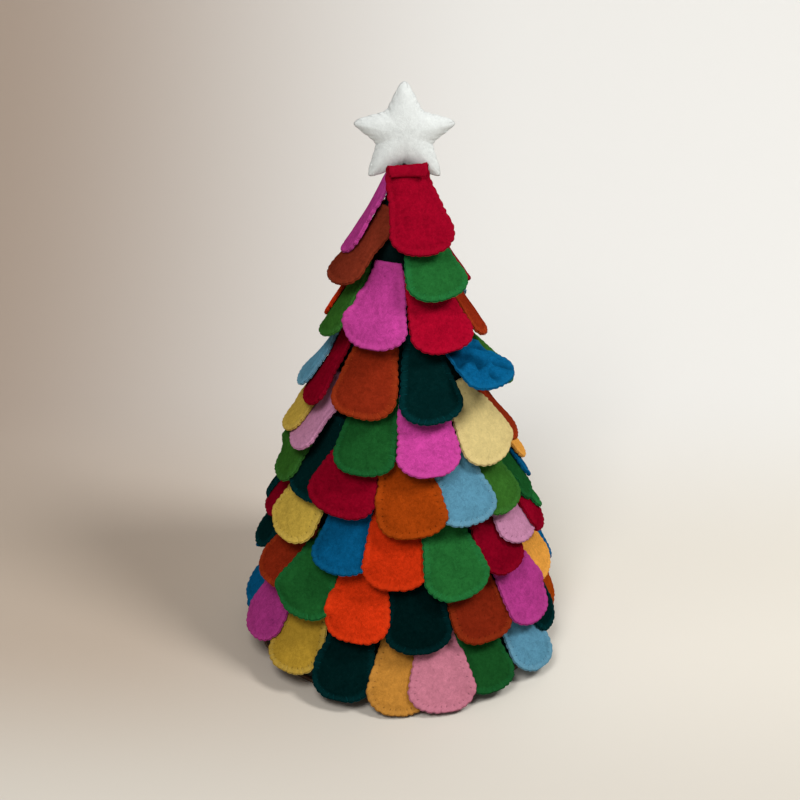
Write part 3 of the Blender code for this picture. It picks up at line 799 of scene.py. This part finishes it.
class Hanging:
    """Where one petal hangs, and the map from its flat cut to the tree."""

    def __init__(self, number, index, colour, azimuth, tip, over, change, room):
        self.index, self.colour, self.over = index, colour, over
        self.change = change
        self.chance = np.random.default_rng(100 * number + index)
        off_front = abs((azimuth + FULL_TURN / 2) % FULL_TURN - FULL_TURN / 2)
        stand = np.interp(off_front, (0.0, FLANK, BACK), ROWS[number - 1][0])
        self.length_share = change.get("length", 1.0)
        self.width_share = change.get("width", self.chance.uniform(*WIDTH_CHANCE))
        top = cover_radius(tip * MM + SEWN_ABOVE_TIP)
        fits = TOP_FILL_SHARE * top * math.tan(math.radians(room) / 2)
        self.half_top = max(change.get("top", fits), 4 * MM)
        fold = change.get("fold", 0.0)
        self.path, self.out, self.down, self.angle = hang_path(
            PETAL_LENGTH * self.length_share, stand * change.get("stand", 1.0), fold)
        self.top_height = tip * MM + self.down[-1]
        self.cover = cover_radius(self.top_height)
        self.middle = self.cover + (GAP + SEWN_DEPTH) / math.cos(CONE_SLANT)
        self.turn = math.radians(azimuth)
        lean, twist = (self.chance.uniform(-most, most) for most in (LEAN_CHANCE, TWIST_CHANCE))
        self.lean = math.radians(change.get("lean", 0.0) + lean)
        self.twist = math.radians(change.get("twist", 0.0) + twist)
        self.lift = np.zeros((len(GRID_ALONG), len(GRID_ACROSS)))
        self.folds = [self.draw_fold(k) for k in range(change.get("creases", 0))]

    def draw_fold(self, number):
        """A dent or ridge pressed into the felt: its middle, its way, its size and depth."""
        chance = self.chance
        middle = (chance.uniform(-15, 15) * MM, chance.uniform(26, 62) * MM)
        way = chance.uniform(0, math.pi)
        long, wide = chance.uniform(5, 11) * MM, chance.uniform(1.8, 3.0) * MM
        depth = 0.7 * DENT if number % 3 == 0 else -DENT
        return middle, (math.cos(way), math.sin(way)), long, wide, depth

    def folded(self, x, y):
        total = np.zeros(len(x))
        for middle, way, long, wide, depth in self.folds:
            along = (x - middle[0]) * way[0] + (y - middle[1]) * way[1]
            across = (y - middle[1]) * way[0] - (x - middle[0]) * way[1]
            total += depth * np.exp(-(along / long) ** 2 - (across / wide) ** 2)
        return total

    def place(self, x, y, z):
        """Points on the tree for flat points, as rows of x, y and z."""
        z = z + read_grid(self.lift, x, np.clip(y, 0, PETAL_LENGTH))
        if self.folds:
            z = z + self.folded(x, y)
        x, y = x * self.width_share, y * self.length_share
        free = smooth_step(y, PETAL_HEM * 0.7, 34 * MM)
        twist = self.twist * free
        x, z = x * np.cos(twist) - z * np.sin(twist), z * np.cos(twist) + x * np.sin(twist)
        lean = self.lean * free
        below = np.maximum(y - PETAL_HEM, 0.0)
        x, y = (x * np.cos(lean) + below * np.sin(lean),
                y - below * (1 - np.cos(lean)) - x * np.sin(lean))
        y = np.clip(y, 0.0, self.path[-1])
        out_at = self.middle + np.interp(y, self.path, self.out)
        turn_at = np.interp(y, self.path, self.angle)
        usual = SLIM_FLATNESS if self.cover < SLIM_RADIUS else FLATNESS
        flatness = self.change.get("flatness", usual)
        fitted = min(FLATNESS / self.cover, TIGHTEST_CURVE)
        if "fold" in self.change:
            fitted, flatness = FOLDED_CURVES
        curve = (1 - free) * fitted + free * flatness / (out_at - SEWN_DEPTH)
        x = x + self.change.get("slide", 0.0)
        sweep = x * curve
        sideways = np.sin(sweep) / curve + z * np.sin(sweep)
        raised = (np.cos(sweep) - 1) / curve + z * np.cos(sweep)
        across = np.array((math.cos(self.turn), math.sin(self.turn), 0.0))
        outwards = np.array((math.sin(self.turn), -math.cos(self.turn), 0.0))
        placed = (across * sideways[:, None]
                  + outwards * (out_at + raised * np.cos(turn_at))[:, None])
        placed[:, 2] = (self.top_height - np.interp(y, self.path, self.down)
                        + raised * np.sin(turn_at))
        placed[:, 2] = np.maximum(placed[:, 2], GAP)
        return placed

    def natural(self, settings):
        """The petal's own unevenness: slow waves and a lifted tip."""
        x, y = np.meshgrid(GRID_ACROSS, GRID_ALONG)
        chance = self.chance
        strength = settings.wave * self.change.get("wave", 1.0)
        strength *= smooth_step(y, PETAL_HEM, 40 * MM)
        edge_share = np.abs(x) / (PETAL_WIDTH / 2)
        grid = np.zeros_like(x)
        for _ in range(4):
            across, along = chance.uniform(-110, 110), chance.uniform(-90, 90)
            phase = chance.uniform(0, math.tau)
            grid += strength * (0.25 + 0.6 * edge_share ** 2) * np.sin(
                across * x + along * y + phase)
        tip = smooth_step(y, 45 * MM, PETAL_LENGTH)
        grid += tip * chance.uniform(-0.5, 2.0) * MM
        return grid

    def rest(self, obstacles, settings):
        """Lifts the petal just enough to lie on the petals already there."""
        natural = self.natural(settings)
        self.lift = natural
        x, y = (grid.ravel() for grid in np.meshgrid(GRID_ACROSS, GRID_ALONG))
        if not obstacles:
            return
        tree = merged(obstacles)
        self.lift = np.zeros_like(natural)
        flat = self.place(x, y, np.zeros_like(x))
        normal = unit(self.place(x, y, np.full_like(x, MM)) - flat)
        bound = np.full(len(x), -np.inf)
        inside = (np.abs(x) < half_width(y, self.half_top) + 1.5 * MM) & (y > PETAL_HEM)
        for k in np.nonzero(inside)[0]:
            way = Vector(normal[k])
            hit = tree.ray_cast(Vector(flat[k]) + way * REACH, -way, REACH + PROBE_DEPTH)
            if hit[0] is not None:
                bound[k] = REACH - hit[3] + REST_DEPTH + CLEARANCE
        bound = bound.reshape(natural.shape)
        shape = np.maximum(natural, bound)
        held = GRID_ALONG <= PETAL_HEM
        for _ in range(REST_ROUNDS):
            shape = shape + EVENING * (neighbour_mean(shape) - shape) + SPRING * (natural - shape)
            shape = np.maximum(shape, bound)
            shape[held] = natural[held]
        self.lift = shape

    def coarse(self):
        """A light shell of the petal for later ones to rest on."""
        rows = np.linspace(0.0, PETAL_LENGTH - 0.6 * MM, 22)
        shares = np.array((-1.0, -0.93, -0.6, -0.2, 0.2, 0.6, 0.93, 1.0))
        half = half_width(rows, self.half_top)
        x = (half[:, None] * shares).ravel()
        y = np.repeat(rows, len(shares))
        thick = np.tile((0.9, 1.7, 2.1, 2.4, 2.4, 2.1, 1.7, 0.9), len(rows)) * MM
        thick[-len(shares):] = 0.9 * MM
        front, back = self.place(x, y, thick), self.place(x, y, -thick)
        points = np.concatenate([front, back])
        wide, many = len(shares), len(x)
        faces = []
        for row in range(len(rows) - 1):
            for column in range(wide - 1):
                a = row * wide + column
                quad = (a, a + 1, a + wide + 1, a + wide)
                faces += [quad, tuple(many + i for i in quad)]
            for column in (0, wide - 1):
                a = row * wide + column
                faces.append((a, a + wide, many + a + wide, many + a))
        for column in range(wide - 1):
            a = (len(rows) - 1) * wide + column
            faces.append((a, a + 1, many + a + 1, many + a))
        return points, faces


def hang_path(length, stand, fold):
    """The petal's middle line: distance along, way out, way down, angle off vertical.

    A folded petal's first stretch turns back on itself in front of its top.
    """
    along = np.linspace(0, length, 275)
    share = (along - fold - PETAL_HEM) / (length - fold - PETAL_HEM)
    angle = CONE_SLANT + stand * (HANG_START + (HANG_END - HANG_START) * share)
    # The seam lets the felt turn off the cone over a few millimetres
    turn = smooth_step(along - fold, PETAL_HEM - 3 * MM, PETAL_HEM + 4 * MM)
    angle = CONE_SLANT + (angle - CONE_SLANT) * turn
    start = 0
    if fold:
        roll = np.clip((fold + FOLD_ROLL - along) / (2 * FOLD_ROLL), 0.0, 1.0)
        angle = angle - roll * FOLD_TURN
        start = int(np.argmax(along > fold + FOLD_ROLL))
    step = np.diff(along)
    middle = (angle[1:] + angle[:-1]) / 2
    out = np.concatenate([[0], np.cumsum(step * np.sin(middle))])
    down = np.concatenate([[0], np.cumsum(step * np.cos(middle))])
    return along, out - out[start], down - down[start], angle


def spread_row(number, seen, back):
    """All petals of a row, each with the room it has between its neighbours."""
    petals = list(seen)
    first, last = seen[0][1], seen[-1][1]
    step = (FULL_TURN + first - last) / (len(back) + 1)
    for index, colour in enumerate(back, start=1):
        rise = BACK_RISE * math.sin(index * GOLDEN_TURN)
        petals.append((colour, last + step * index, BACK_TIPS[number - 1] + rise, index % 2, {}))
    turns = [petal[1] for petal in petals]
    after = [*turns[1:], turns[0] + FULL_TURN]
    before = [turns[-1] - FULL_TURN, *turns[:-1]]
    rooms = [min(b - a, a - c, WIDEST_ROOM) for a, b, c in zip(turns, after, before)]
    return [Hanging(number, index, *petal, room)
            for index, (petal, room) in enumerate(zip(petals, rooms), start=1)]


def laid_order(petals):
    """The petals of a row so that each comes after the neighbours it lies over."""
    waiting, order = list(range(len(petals))), []
    while waiting:
        for index in waiting:
            after, before = (index + 1) % len(petals), index - 1
            on_next = petals[index].over and after in waiting
            on_last = not petals[before].over and before % len(petals) in waiting
            if not on_next and not on_last:
                break
        else:
            index = waiting[0]
        waiting.remove(index)
        order.append(petals[index])
    return order


def make_petals(settings):
    looks = {
        name: felt_material(f"felt_{name}_look", *colours, contrast=CALM.get(name, 1.0))
        for name, colours in FELTS.items()
    }
    shells = {}
    for number in range(len(ROWS), 0, -1):
        _, seen, back = ROWS[number - 1]
        shells[number] = []
        for petal in laid_order(spread_row(number, seen, back)):
            below = [shell for row in (number, number + 1, number + 2)
                     for shell in shells.get(row, ())]
            petal.rest(below, settings)
            shells[number].append(petal.coarse())
            flat, faces, marks = flat_petal(
                petal.half_top, petal.change.get("holes", HOLE_SHADE_DEFAULT), settings, petal.chance,
                CREASED_RINGS if petal.folds else INNER_RINGS)
            points = petal.place(*flat.T)
            colour = petal.colour
            name = f"petal_{number}_{petal.index:02d}_{colour}"
            tone = petal.change.get("tone", petal.chance.uniform(*TONE_CHANCE))
            # Painted shade: the felt is painted darker in its pressed dents, where shade falls in
            # the creases
            pressed = np.clip(-petal.folded(flat[:, 0], flat[:, 1]) / DENT, 0, 1)
            marks = np.column_stack([marks, tone * (1 - DENT_SHADE * pressed)])
            item = finish_piece(name, points, faces, looks[colour], marks)
            slot = SLOTS.get(colour, colour)
            node = f"row{number}_petal{petal.index:02d}_{slot}"
            if number > SINGLE_ROWS:
                node = f"row{number}_petals"
            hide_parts(node)
            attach(item, BODY)


# The felt cover of the cone


COVER_STEPS = 144
COVER_ROWS = 90
COVER_THICKNESS = 2.0 * MM
# Colour of the cover's painted hem highlight, also the tint of its sheen
COVER_HEM_HIGHLIGHT = (0.060, 0.085, 0.078)


def cover_ring(height, inset, phases):
    """A ring of the cover at a height, slightly uneven, with the seam at the back."""
    turns = np.arange(COVER_STEPS) * math.tau / COVER_STEPS
    radius = cover_radius(height) - inset
    share = (height - COVER_LOW.z) / (COVER_HIGH.z - COVER_LOW.z)
    if inset == 0:
        behind = np.abs(turns % math.tau - math.pi) * radius
        uneven = sum(0.10 * MM * np.sin((k + 2) * turns + phase + (3 + k) * share * 4)
                     for k, phase in enumerate(phases))
        seam = 0.9 * MM * np.exp(-((behind - 2 * MM) / (1.2 * MM)) ** 2)
        seam -= 0.8 * MM * np.exp(-(behind / (0.7 * MM)) ** 2)
        radius = radius + (uneven - 0.35 * MM + seam)
    return np.column_stack([radius * np.sin(turns), -radius * np.cos(turns),
                            np.full(COVER_STEPS, height)])


def make_cover(settings):
    around = COVER_STEPS
    phases = np.random.default_rng(7).uniform(0, math.tau, 6)
    low, high = COVER_LOW.z, COVER_HIGH.z
    thickness = COVER_THICKNESS
    heights = [low + GAP, low + 0.5 * MM, low + 1.1 * MM,
               *np.linspace(low + 2.5 * MM, high - 1.2 * MM, COVER_ROWS)]
    rings = [cover_ring(height, inset, phases) for height, inset in (
        (low, thickness), (low, thickness * 0.5), *((height, 0) for height in heights),
        (high - 0.4 * MM, 0.9 * MM), (high, 2.4 * MM))]
    rings[2][:, :2] *= 1 - 0.6 * MM / COVER_RADIUS
    inside = cover_ring(high - thickness, COVER_TAPER * thickness + thickness, phases)
    points = np.concatenate([*rings, [[0, 0, high]], inside, [[0, 0, high - thickness]]])
    faces = []
    for ring in range(len(rings) - 1):
        faces += band(ring * around, (ring + 1) * around, around)
    last = (len(rings) - 1) * around
    tip = last + around
    inner = tip + 1
    for step in range(around):
        after = (step + 1) % around
        faces += [(last + step, last + after, tip),
                  (inner + step, inner + after, after, step),
                  (inner + after, inner + step, inner + around)]
    # Painted highlight: the hem's cut edge at the bottom of the cover is painted lighter, as where
    # it catches the light
    marks = np.zeros((len(points), 3))
    marks[:, 0] = np.clip(1 - (points[:, 2] - low) / (9 * MM), 0, 1) ** 0.7
    material = felt_material("cone_cover_look", tuple(settings.cover_colour), COVER_HEM_HIGHLIGHT,
                             rim=0.8, sheen=0.08)
    item = finish_piece("cone_cover_felt", points, faces, material, marks)
    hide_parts("cone_cover")
    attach(item, BODY)


def finish_solid(item, material):
    bpy.ops.object.mode_set(mode="OBJECT")
    bpy.ops.object.transform_apply(location=True, rotation=True, scale=True)
    dress(item, material)


def make_board(settings):
    """The round base: a disc with a softened edge."""
    bpy.ops.object.select_all(action="DESELECT")
    radius = (BOARD_HIGH.x - BOARD_LOW.x) / 2
    depth = BOARD_HIGH.z - BOARD_LOW.z
    bpy.ops.mesh.primitive_cylinder_add(vertices=144, radius=radius, depth=depth,
                                        location=(0, 0, depth / 2))
    item = bpy.context.object
    item.name = item.data.name = "base_board_disc"
    bpy.ops.object.mode_set(mode="EDIT")
    select_parts(item, "EDGE",
                 lambda edge: abs(edge.verts[0].co.z - edge.verts[1].co.z) < depth / 2)
    bpy.ops.mesh.bevel(offset=0.5 * MM, segments=3, profile=0.5)
    select_parts(item, "FACE", lambda face: len(face.verts) > 4)
    for _ in range(3):
        bpy.ops.mesh.inset(thickness=radius * 0.2)
    finish_solid(item, board_material(tuple(settings.board_colour)))
    bpy.ops.object.shade_smooth_by_angle(angle=math.radians(40))
    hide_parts("base_board")
    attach(item, BODY)


def make_core(settings):
    """The foam core keeps its solid and gets its look."""
    dress(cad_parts["cone_core"], foam_material())


# The star

# From the star's middle to the tip of an arm as cut, and to a notch
STAR_REACH = 36.5 * MM
STAR_NOTCH = 20.6 * MM
STAR_POINTS = 5
STAR_TIP_SOFTENING = math.radians(5.5)
STAR_NOTCH_SOFTENING = math.radians(7.0)
STAR_POINTED_SHARE = 1.25
STAR_LEAN = math.radians(12.0)
# The filling is simulated on a star this much larger
STAR_GROWTH = 10.0
STAR_RINGS = (1.0, 0.965, 0.92, 0.86, 0.79, 0.71, 0.62, 0.52, 0.42, 0.31, 0.20, 0.10)
STAR_COUNT = 36 * STAR_POINTS
STAR_DOME = 3.5 * MM
STAR_STITCH_STEP = 5
STAR_PULL = 0.8 * MM
STAR_THREAD = 0.20 * MM
# Where the arms point as cut and once sewn and filled, and each arm's share of the reach
STAR_ARMS_CUT = tuple(math.radians(a) for a in (0.0, 72.0, 144.0, 180.0))
STAR_ARMS_SEWN = tuple(math.radians(a) for a in (0.0, 78.0, 139.5, 180.0))
STAR_ARM_LENGTHS = (0.98, 0.97, 1.03, 1.0)
STAR_SMOOTHING = 90


def star_radius(turn):
    """Distance from the star's middle to its outline, at an angle off an arm."""
    half_arm = math.pi / STAR_POINTS
    from_tip = np.hypot(turn, STAR_TIP_SOFTENING)
    from_notch = np.hypot(half_arm - np.abs(turn), STAR_NOTCH_SOFTENING)
    share = from_tip / (from_tip + from_notch)
    point = STAR_REACH * STAR_POINTED_SHARE
    side = point * np.sin(share * half_arm) + STAR_NOTCH * np.sin((1 - share) * half_arm)
    return point * STAR_NOTCH * math.sin(half_arm) / side


def star_shell():
    """Both faces of the star, slightly domed, meeting at the seam: points and faces."""
    count, rings = STAR_COUNT, len(STAR_RINGS)
    angle = np.arange(count) * math.tau / count
    half_arm = math.pi / STAR_POINTS
    turned = np.minimum(angle, math.tau - angle)
    radius = star_radius((angle + half_arm) % (2 * half_arm) - half_arm)
    radius = radius * np.interp(turned, STAR_ARMS_CUT, STAR_ARM_LENGTHS)
    swung = np.where(angle > math.pi, -1, 1) * np.interp(turned, STAR_ARMS_CUT, STAR_ARMS_SEWN)
    points, faces = [], []
    for side, shares in ((1, STAR_RINGS), (-1, STAR_RINGS[1:])):
        for share in shares:
            depth = side * STAR_DOME * (1 - share * share)
            points.append(np.column_stack([radius * np.sin(swung) * share,
                                           np.full(count, -depth),
                                           radius * np.cos(swung) * share]))
    middle = (2 * rings - 1) * count
    points.append([[0, -STAR_DOME, 0], [0, STAR_DOME, 0]])
    for side in (0, 1):
        last = ring_start(side, rings - 1, rings, count)
        made = side_bands(side, rings, count)
        made += [(last + step, last + (step + 1) % count, middle + side) for step in range(count)]
        faces += flipped(made) if side else made
    return np.concatenate(points), faces


# The felt of the star as it is filled
CLOTH = {"quality": 8, "mass": 0.15, "tension_stiffness": 25, "compression_stiffness": 25,
         "shear_stiffness": 8, "bending_stiffness": 0.6, "use_pressure": True}
FILLING_FRAMES = 24
FILLING_CAP = 12.0 * MM


def inflate(item, pressure, frames, cap):
    """Puffs a closed shell with cloth under pressure, each point moving at most cap."""
    scene = bpy.context.scene
    bpy.ops.object.select_all(action="DESELECT")
    item.select_set(True)
    bpy.context.view_layer.objects.active = item
    start = read_points(item.data)
    cloth = item.modifiers.new("Filling", "CLOTH")
    for key, value in CLOTH.items():
        setattr(cloth.settings, key, value)
    cloth.settings.uniform_pressure_force = pressure
    cloth.settings.effector_weights.gravity = 0
    cloth.point_cache.frame_start = 1
    cloth.point_cache.frame_end = frames
    for number in range(1, frames + 1):
        scene.frame_set(number)
    bpy.ops.object.modifier_apply(modifier=cloth.name)
    scene.frame_set(1)
    shift = read_points(item.data) - start
    length = np.linalg.norm(shift, axis=1)[:, None]
    shift *= np.minimum(1.0, cap / np.maximum(length, 1e-9))
    write_points(item.data, start + shift)


def smooth_star(depth):
    """Evens out the wrinkles that the filling's pressure leaves inside the seam."""
    rings, count = len(STAR_RINGS), STAR_COUNT
    result = depth.copy()
    for side, middle in ((0, -2), (1, -1)):
        first = ring_start(side, 1, rings, count)
        last = first + (rings - 1) * count
        face = np.concatenate([depth[:count], depth[first:last]]).reshape(rings, count)
        for _ in range(STAR_SMOOTHING):
            inner = np.vstack([face[2:], np.full(count, face[-1].mean())])
            mean = (np.roll(face, 1, 1)[1:] + np.roll(face, -1, 1)[1:] + face[:-1] + inner) / 4
            share = np.linspace(0.0, 1.0, rings - 1)[:, None]
            face[1:] += 0.8 * share * (mean - face[1:])
        result[first:last] = face[1:].ravel()
        result[middle] = face[-1].mean()
    return result


def shape_star(points):
    """Gives the filled star its cut size back and puckers its seam."""
    count = STAR_COUNT
    # Each stitch pulls the seam in and leaves a small swelling beside it
    stitches = np.arange(0, count, STAR_STITCH_STEP)
    pulls = np.random.default_rng(11).uniform(0.5, 1.0, len(stitches)) * STAR_PULL
    near = np.zeros(count)
    for place, strength in zip(stitches, pulls):
        gap = np.abs((np.arange(count) - place + count / 2) % count - count / 2)
        near += strength * np.exp(-(gap / 1.1) ** 2)
    out = star_shell()[0][:, [0, 2]]
    depth = smooth_star(points[:, 1])
    for ring, strength in enumerate((1.0, 0.9, 0.6, 0.25)):
        for side in (0, 1) if ring else (0,):
            first = ring_start(side, ring, len(STAR_RINGS), count)
            index = slice(first, first + count)
            out[index] -= unit(out[index]) * (near * strength)[:, None]
            depth[index] *= 1 - 0.5 * strength * (near / STAR_PULL) * (ring > 0)
    return np.column_stack([out[:, 0], depth, out[:, 1]])


def make_star(settings):
    points, faces = star_shell()
    material = felt_material("star_felt_look", tuple(settings.star_colour), (0.640, 0.665, 0.660),
                             contrast=0.35, rim=0.2, sheen=0.2, bump=0.6)
    item = finish_piece("star_stuffed", points * STAR_GROWTH, faces, material)
    inflate(item, settings.star_pressure, FILLING_FRAMES, FILLING_CAP * STAR_GROWTH)
    write_points(item.data, shape_star(read_points(item.data) / STAR_GROWTH))
    # Set the star where its CAD faces are
    low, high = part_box("star_front_felt")
    other_low, other_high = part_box("star_back_felt")
    item.data.transform(Matrix.Rotation(-STAR_LEAN, 4, "X"))
    placed = read_points(item.data)
    middle = (placed.min(0) + placed.max(0)) / 2
    goal = (np.minimum(low, other_low) + np.maximum(high, other_high)) / 2
    item.data.transform(Matrix.Translation(Vector(goal - middle)))
    add_star_stitches(item.data)
    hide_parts("star_front_felt", "star_back_felt", "star_filling")
    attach(item, BODY)


def add_star_stitches(mesh):
    """Whip stitches over the seam, and the marks that the felt's look reads."""
    chance = np.random.default_rng(5)
    base, count, rings = read_points(mesh), STAR_COUNT, len(STAR_RINGS)
    rim = base[:count]
    inner, behind = (base[first:first + count] for first in (
        ring_start(side, 2, rings, count) for side in (0, 1)))
    marks = np.zeros((len(base), 3))
    marks[:count, 0] = 1.0
    star = Sewn(base, [tuple(p.vertices) for p in mesh.polygons], marks)
    for step in range(0, count, STAR_STITCH_STEP):
        slip = int(chance.integers(0, 2))
        a, m, b = inner[step], rim[(step + slip) % count], behind[(step + 2 * slip) % count]
        outward, front = unit(m - (a + b) / 2), unit(a - b)
        line = np.array([a - front * 0.5 * MM, a + front * 0.10 * MM,
                         (a + m) / 2 + front * 0.15 * MM + outward * 0.1 * MM,
                         m + outward * 0.15 * MM,
                         (b + m) / 2 - front * 0.15 * MM + outward * 0.1 * MM,
                         b - front * 0.10 * MM, b + front * 0.5 * MM])
        side = unit(np.cross(tangents(line), outward))
        star.add_thread(line, side, np.cross(side, tangents(line)), STAR_THREAD)
    fill_mesh(mesh, *star.arrays())


# The stage

FLOOR_BACK = 0.95
FLOOR_HALF_WIDTH = 3.0
FLOOR_HALF_DEPTH = 1.6
FLOOR_DROP = 0.4 * MM
BACKDROP_HEIGHT = 2.5
BACKDROP_BEND = 0.6
# Where the paper's colours and their painted shade fade into each other, in metres across or
# backwards
FLOOR_FADE = (-0.24, 0.15)
FLOOR_NEAR = (0.60, 0.57, 0.515)
NEAR_FADE = (-0.27, -0.02)
BACKDROP_FADE = (-0.50, 0.15)
RISE_FADE = (0.06, 0.42)
# Painted shade: darker colours of the floor and backdrop to the left, where the tree's shadow falls
FLOOR_LEFT_SHADE = (0.47, 0.395, 0.325)
BACKDROP_LEFT_SHADE = (0.42, 0.34, 0.28)
BACKDROP_RIGHT = (0.80, 0.80, 0.785)
ROOM_LIGHT = (0.20, 0.194, 0.186)
ROOM_SEEN = (0.76, 0.73, 0.68)
# Each light's place, aim, size, power in watts and colour
LIGHTS = {
    "key_light": ((1.20, -0.60, 1.75), (0.0, 0.0, 0.22), 0.6, 27.0, (1.0, 0.985, 0.96)),
    "front_light": ((-0.35, -1.35, 1.70), (0.0, 0.0, 0.25), 0.8, 26.0, (1.0, 0.985, 0.965)),
}
CAMERA_PLACE = (-1.6 * MM, -1.33, 0.87)
CAMERA_TILT = math.radians(63.1)
LENS, SENSOR = 88.5, 36.0


def floor_material(settings):
    """Paper with painted shade: darker to the left and lighter up the backdrop's right side,
    standing in for the fall of the lamps' light and the tree's shadow.
    """
    material, graph, shader = new_material("floor_paper", tuple(settings.floor_colour), 0.9)
    x, y, _ = graph.node("ShaderNodeSeparateXYZ", {0: graph.place()}).outputs

    def eased(value, fade):
        return graph.remap(value, *fade, interpolation_type="SMOOTHSTEP")

    # Painted shade: the floor darker to the left, and one lighter tone near the front
    floor = graph.mix(eased(x, FLOOR_FADE), opaque(FLOOR_LEFT_SHADE), opaque(settings.floor_colour))
    floor = graph.mix(eased(y, NEAR_FADE), opaque(FLOOR_NEAR), floor)
    backdrop = graph.mix(eased(x, BACKDROP_FADE), opaque(BACKDROP_LEFT_SHADE), opaque(BACKDROP_RIGHT))
    graph.fill(shader, {"Specular IOR Level": 0.0,
                        "Base Color": graph.mix(eased(y, RISE_FADE), floor, backdrop)})
    # From behind, the paper is clear, so that the tree shows
    clear = graph.node("ShaderNodeMixShader", {
        0: graph.node("ShaderNodeNewGeometry").outputs["Backfacing"],
        1: shader.outputs[0], 2: graph.node("ShaderNodeBsdfTransparent").outputs[0]})
    graph.fill(material.node_tree.nodes["Material Output"], {"Surface": clear.outputs[0]})
    return material


def make_floor(settings):
    """A floor that curves up into a backdrop not far behind the tree."""
    bpy.ops.object.select_all(action="DESELECT")
    bpy.ops.mesh.primitive_plane_add(size=2.0)
    floor = bpy.context.object
    floor.name = floor.data.name = "floor_and_backdrop"
    bpy.ops.object.mode_set(mode="EDIT")
    bpy.ops.mesh.select_all(action="SELECT")
    bpy.ops.transform.resize(value=(FLOOR_HALF_WIDTH, FLOOR_HALF_DEPTH, 1.0))
    bpy.ops.transform.translate(value=(0.0, FLOOR_BACK - FLOOR_HALF_DEPTH, -FLOOR_DROP))

    def at_back(edge):
        return all(vert.co.y > FLOOR_BACK - 0.01 for vert in edge.verts)

    select_parts(floor, "EDGE", at_back)
    bpy.ops.mesh.extrude_region_move(TRANSFORM_OT_translate={"value": (0, 0, BACKDROP_HEIGHT)})
    select_parts(floor, "EDGE",
                 lambda edge: at_back(edge) and all(vert.co.z < 0.1 for vert in edge.verts))
    bpy.ops.mesh.bevel(offset=BACKDROP_BEND, segments=24, profile=0.5)
    finish_solid(floor, floor_material(settings))
    bpy.ops.object.shade_smooth()


def add_light(name, location, target, size, power, colour):
    bpy.ops.object.light_add(type="AREA", location=location)
    lamp = bpy.context.object
    lamp.name = lamp.data.name = name
    lamp.data.shape = "DISK"
    lamp.data.size = size
    lamp.data.energy = power
    lamp.data.color = colour
    aim = Vector(target) - Vector(location)
    lamp.rotation_euler = aim.to_track_quat("-Z", "Y").to_euler()


def make_stage(settings):
    scene = bpy.context.scene
    scene.view_settings.view_transform = "Standard"
    if settings.show_floor:
        make_floor(settings)
    for name, values in LIGHTS.items():
        add_light(name, *values)
    world = bpy.data.worlds.new("room")
    world.use_nodes = True
    graph = Graph(world.node_tree)
    is_camera = graph.node("ShaderNodeLightPath").outputs["Is Camera Ray"]
    graph.fill(world.node_tree.nodes["Background"], {
        "Strength": 1.0, "Color": graph.mix(is_camera, opaque(ROOM_LIGHT), opaque(ROOM_SEEN))})
    scene.world = world
    data = bpy.data.cameras.new("camera")
    data.lens, data.sensor_width = LENS, SENSOR
    camera = bpy.data.objects.new("camera", data)
    scene.collection.objects.link(camera)
    camera.location = CAMERA_PLACE
    camera.rotation_euler = (CAMERA_TILT, 0, 0)
    scene.camera = camera


# Operators, panel and registration


class Maker:
    """Runs one of the makers above with the sidebar's settings."""

    def execute(self, context):
        self.make(context.scene.felt_tree)
        return {"FINISHED"}


class FELTTREE_OT_board(Maker, Operator):
    """Make the round base board"""

    bl_idname = "felt_tree.board"
    bl_label = "Base board"
    make = staticmethod(make_board)


class FELTTREE_OT_core(Maker, Operator):
    """Give the foam core its look"""

    bl_idname = "felt_tree.core"
    bl_label = "Foam core"
    make = staticmethod(make_core)


class FELTTREE_OT_cover(Maker, Operator):
    """Make the felt cover of the cone"""

    bl_idname = "felt_tree.cover"
    bl_label = "Cone cover"
    make = staticmethod(make_cover)


class FELTTREE_OT_petals(Maker, Operator):
    """Make every petal, stitched and hung in its row"""

    bl_idname = "felt_tree.petals"
    bl_label = "Petals"
    make = staticmethod(make_petals)


class FELTTREE_OT_star(Maker, Operator):
    """Make the stuffed star"""

    bl_idname = "felt_tree.star"
    bl_label = "Star"
    make = staticmethod(make_star)


class FELTTREE_OT_stage(Maker, Operator):
    """Make the floor, the lights and the camera"""

    bl_idname = "felt_tree.stage"
    bl_label = "Stage"
    make = staticmethod(make_stage)


class FELTTREE_PT_panel(Panel):
    bl_label = "Felt tree"
    bl_space_type = "VIEW_3D"
    bl_region_type = "UI"
    bl_category = "Felt tree"

    def draw(self, context):
        for name in FeltTreeSettings.__annotations__:
            self.layout.prop(context.scene.felt_tree, name)
        for operator in OPERATORS:
            self.layout.operator(operator.bl_idname)


OPERATORS = (
    FELTTREE_OT_board,
    FELTTREE_OT_core,
    FELTTREE_OT_cover,
    FELTTREE_OT_petals,
    FELTTREE_OT_star,
    FELTTREE_OT_stage,
)
CLASSES = (FeltTreeSettings, *OPERATORS, FELTTREE_PT_panel)


def register():
    for item in CLASSES:
        bpy.utils.register_class(item)
    bpy.types.Scene.felt_tree = PointerProperty(type=FeltTreeSettings)


def unregister():
    del bpy.types.Scene.felt_tree
    for item in reversed(CLASSES):
        bpy.utils.unregister_class(item)


def main():
    register()
    bpy.ops.felt_tree.board()
    bpy.ops.felt_tree.core()
    bpy.ops.felt_tree.cover()
    bpy.ops.felt_tree.petals()
    bpy.ops.felt_tree.star()
    bpy.ops.felt_tree.stage()


if __name__ == "__main__":
    main()
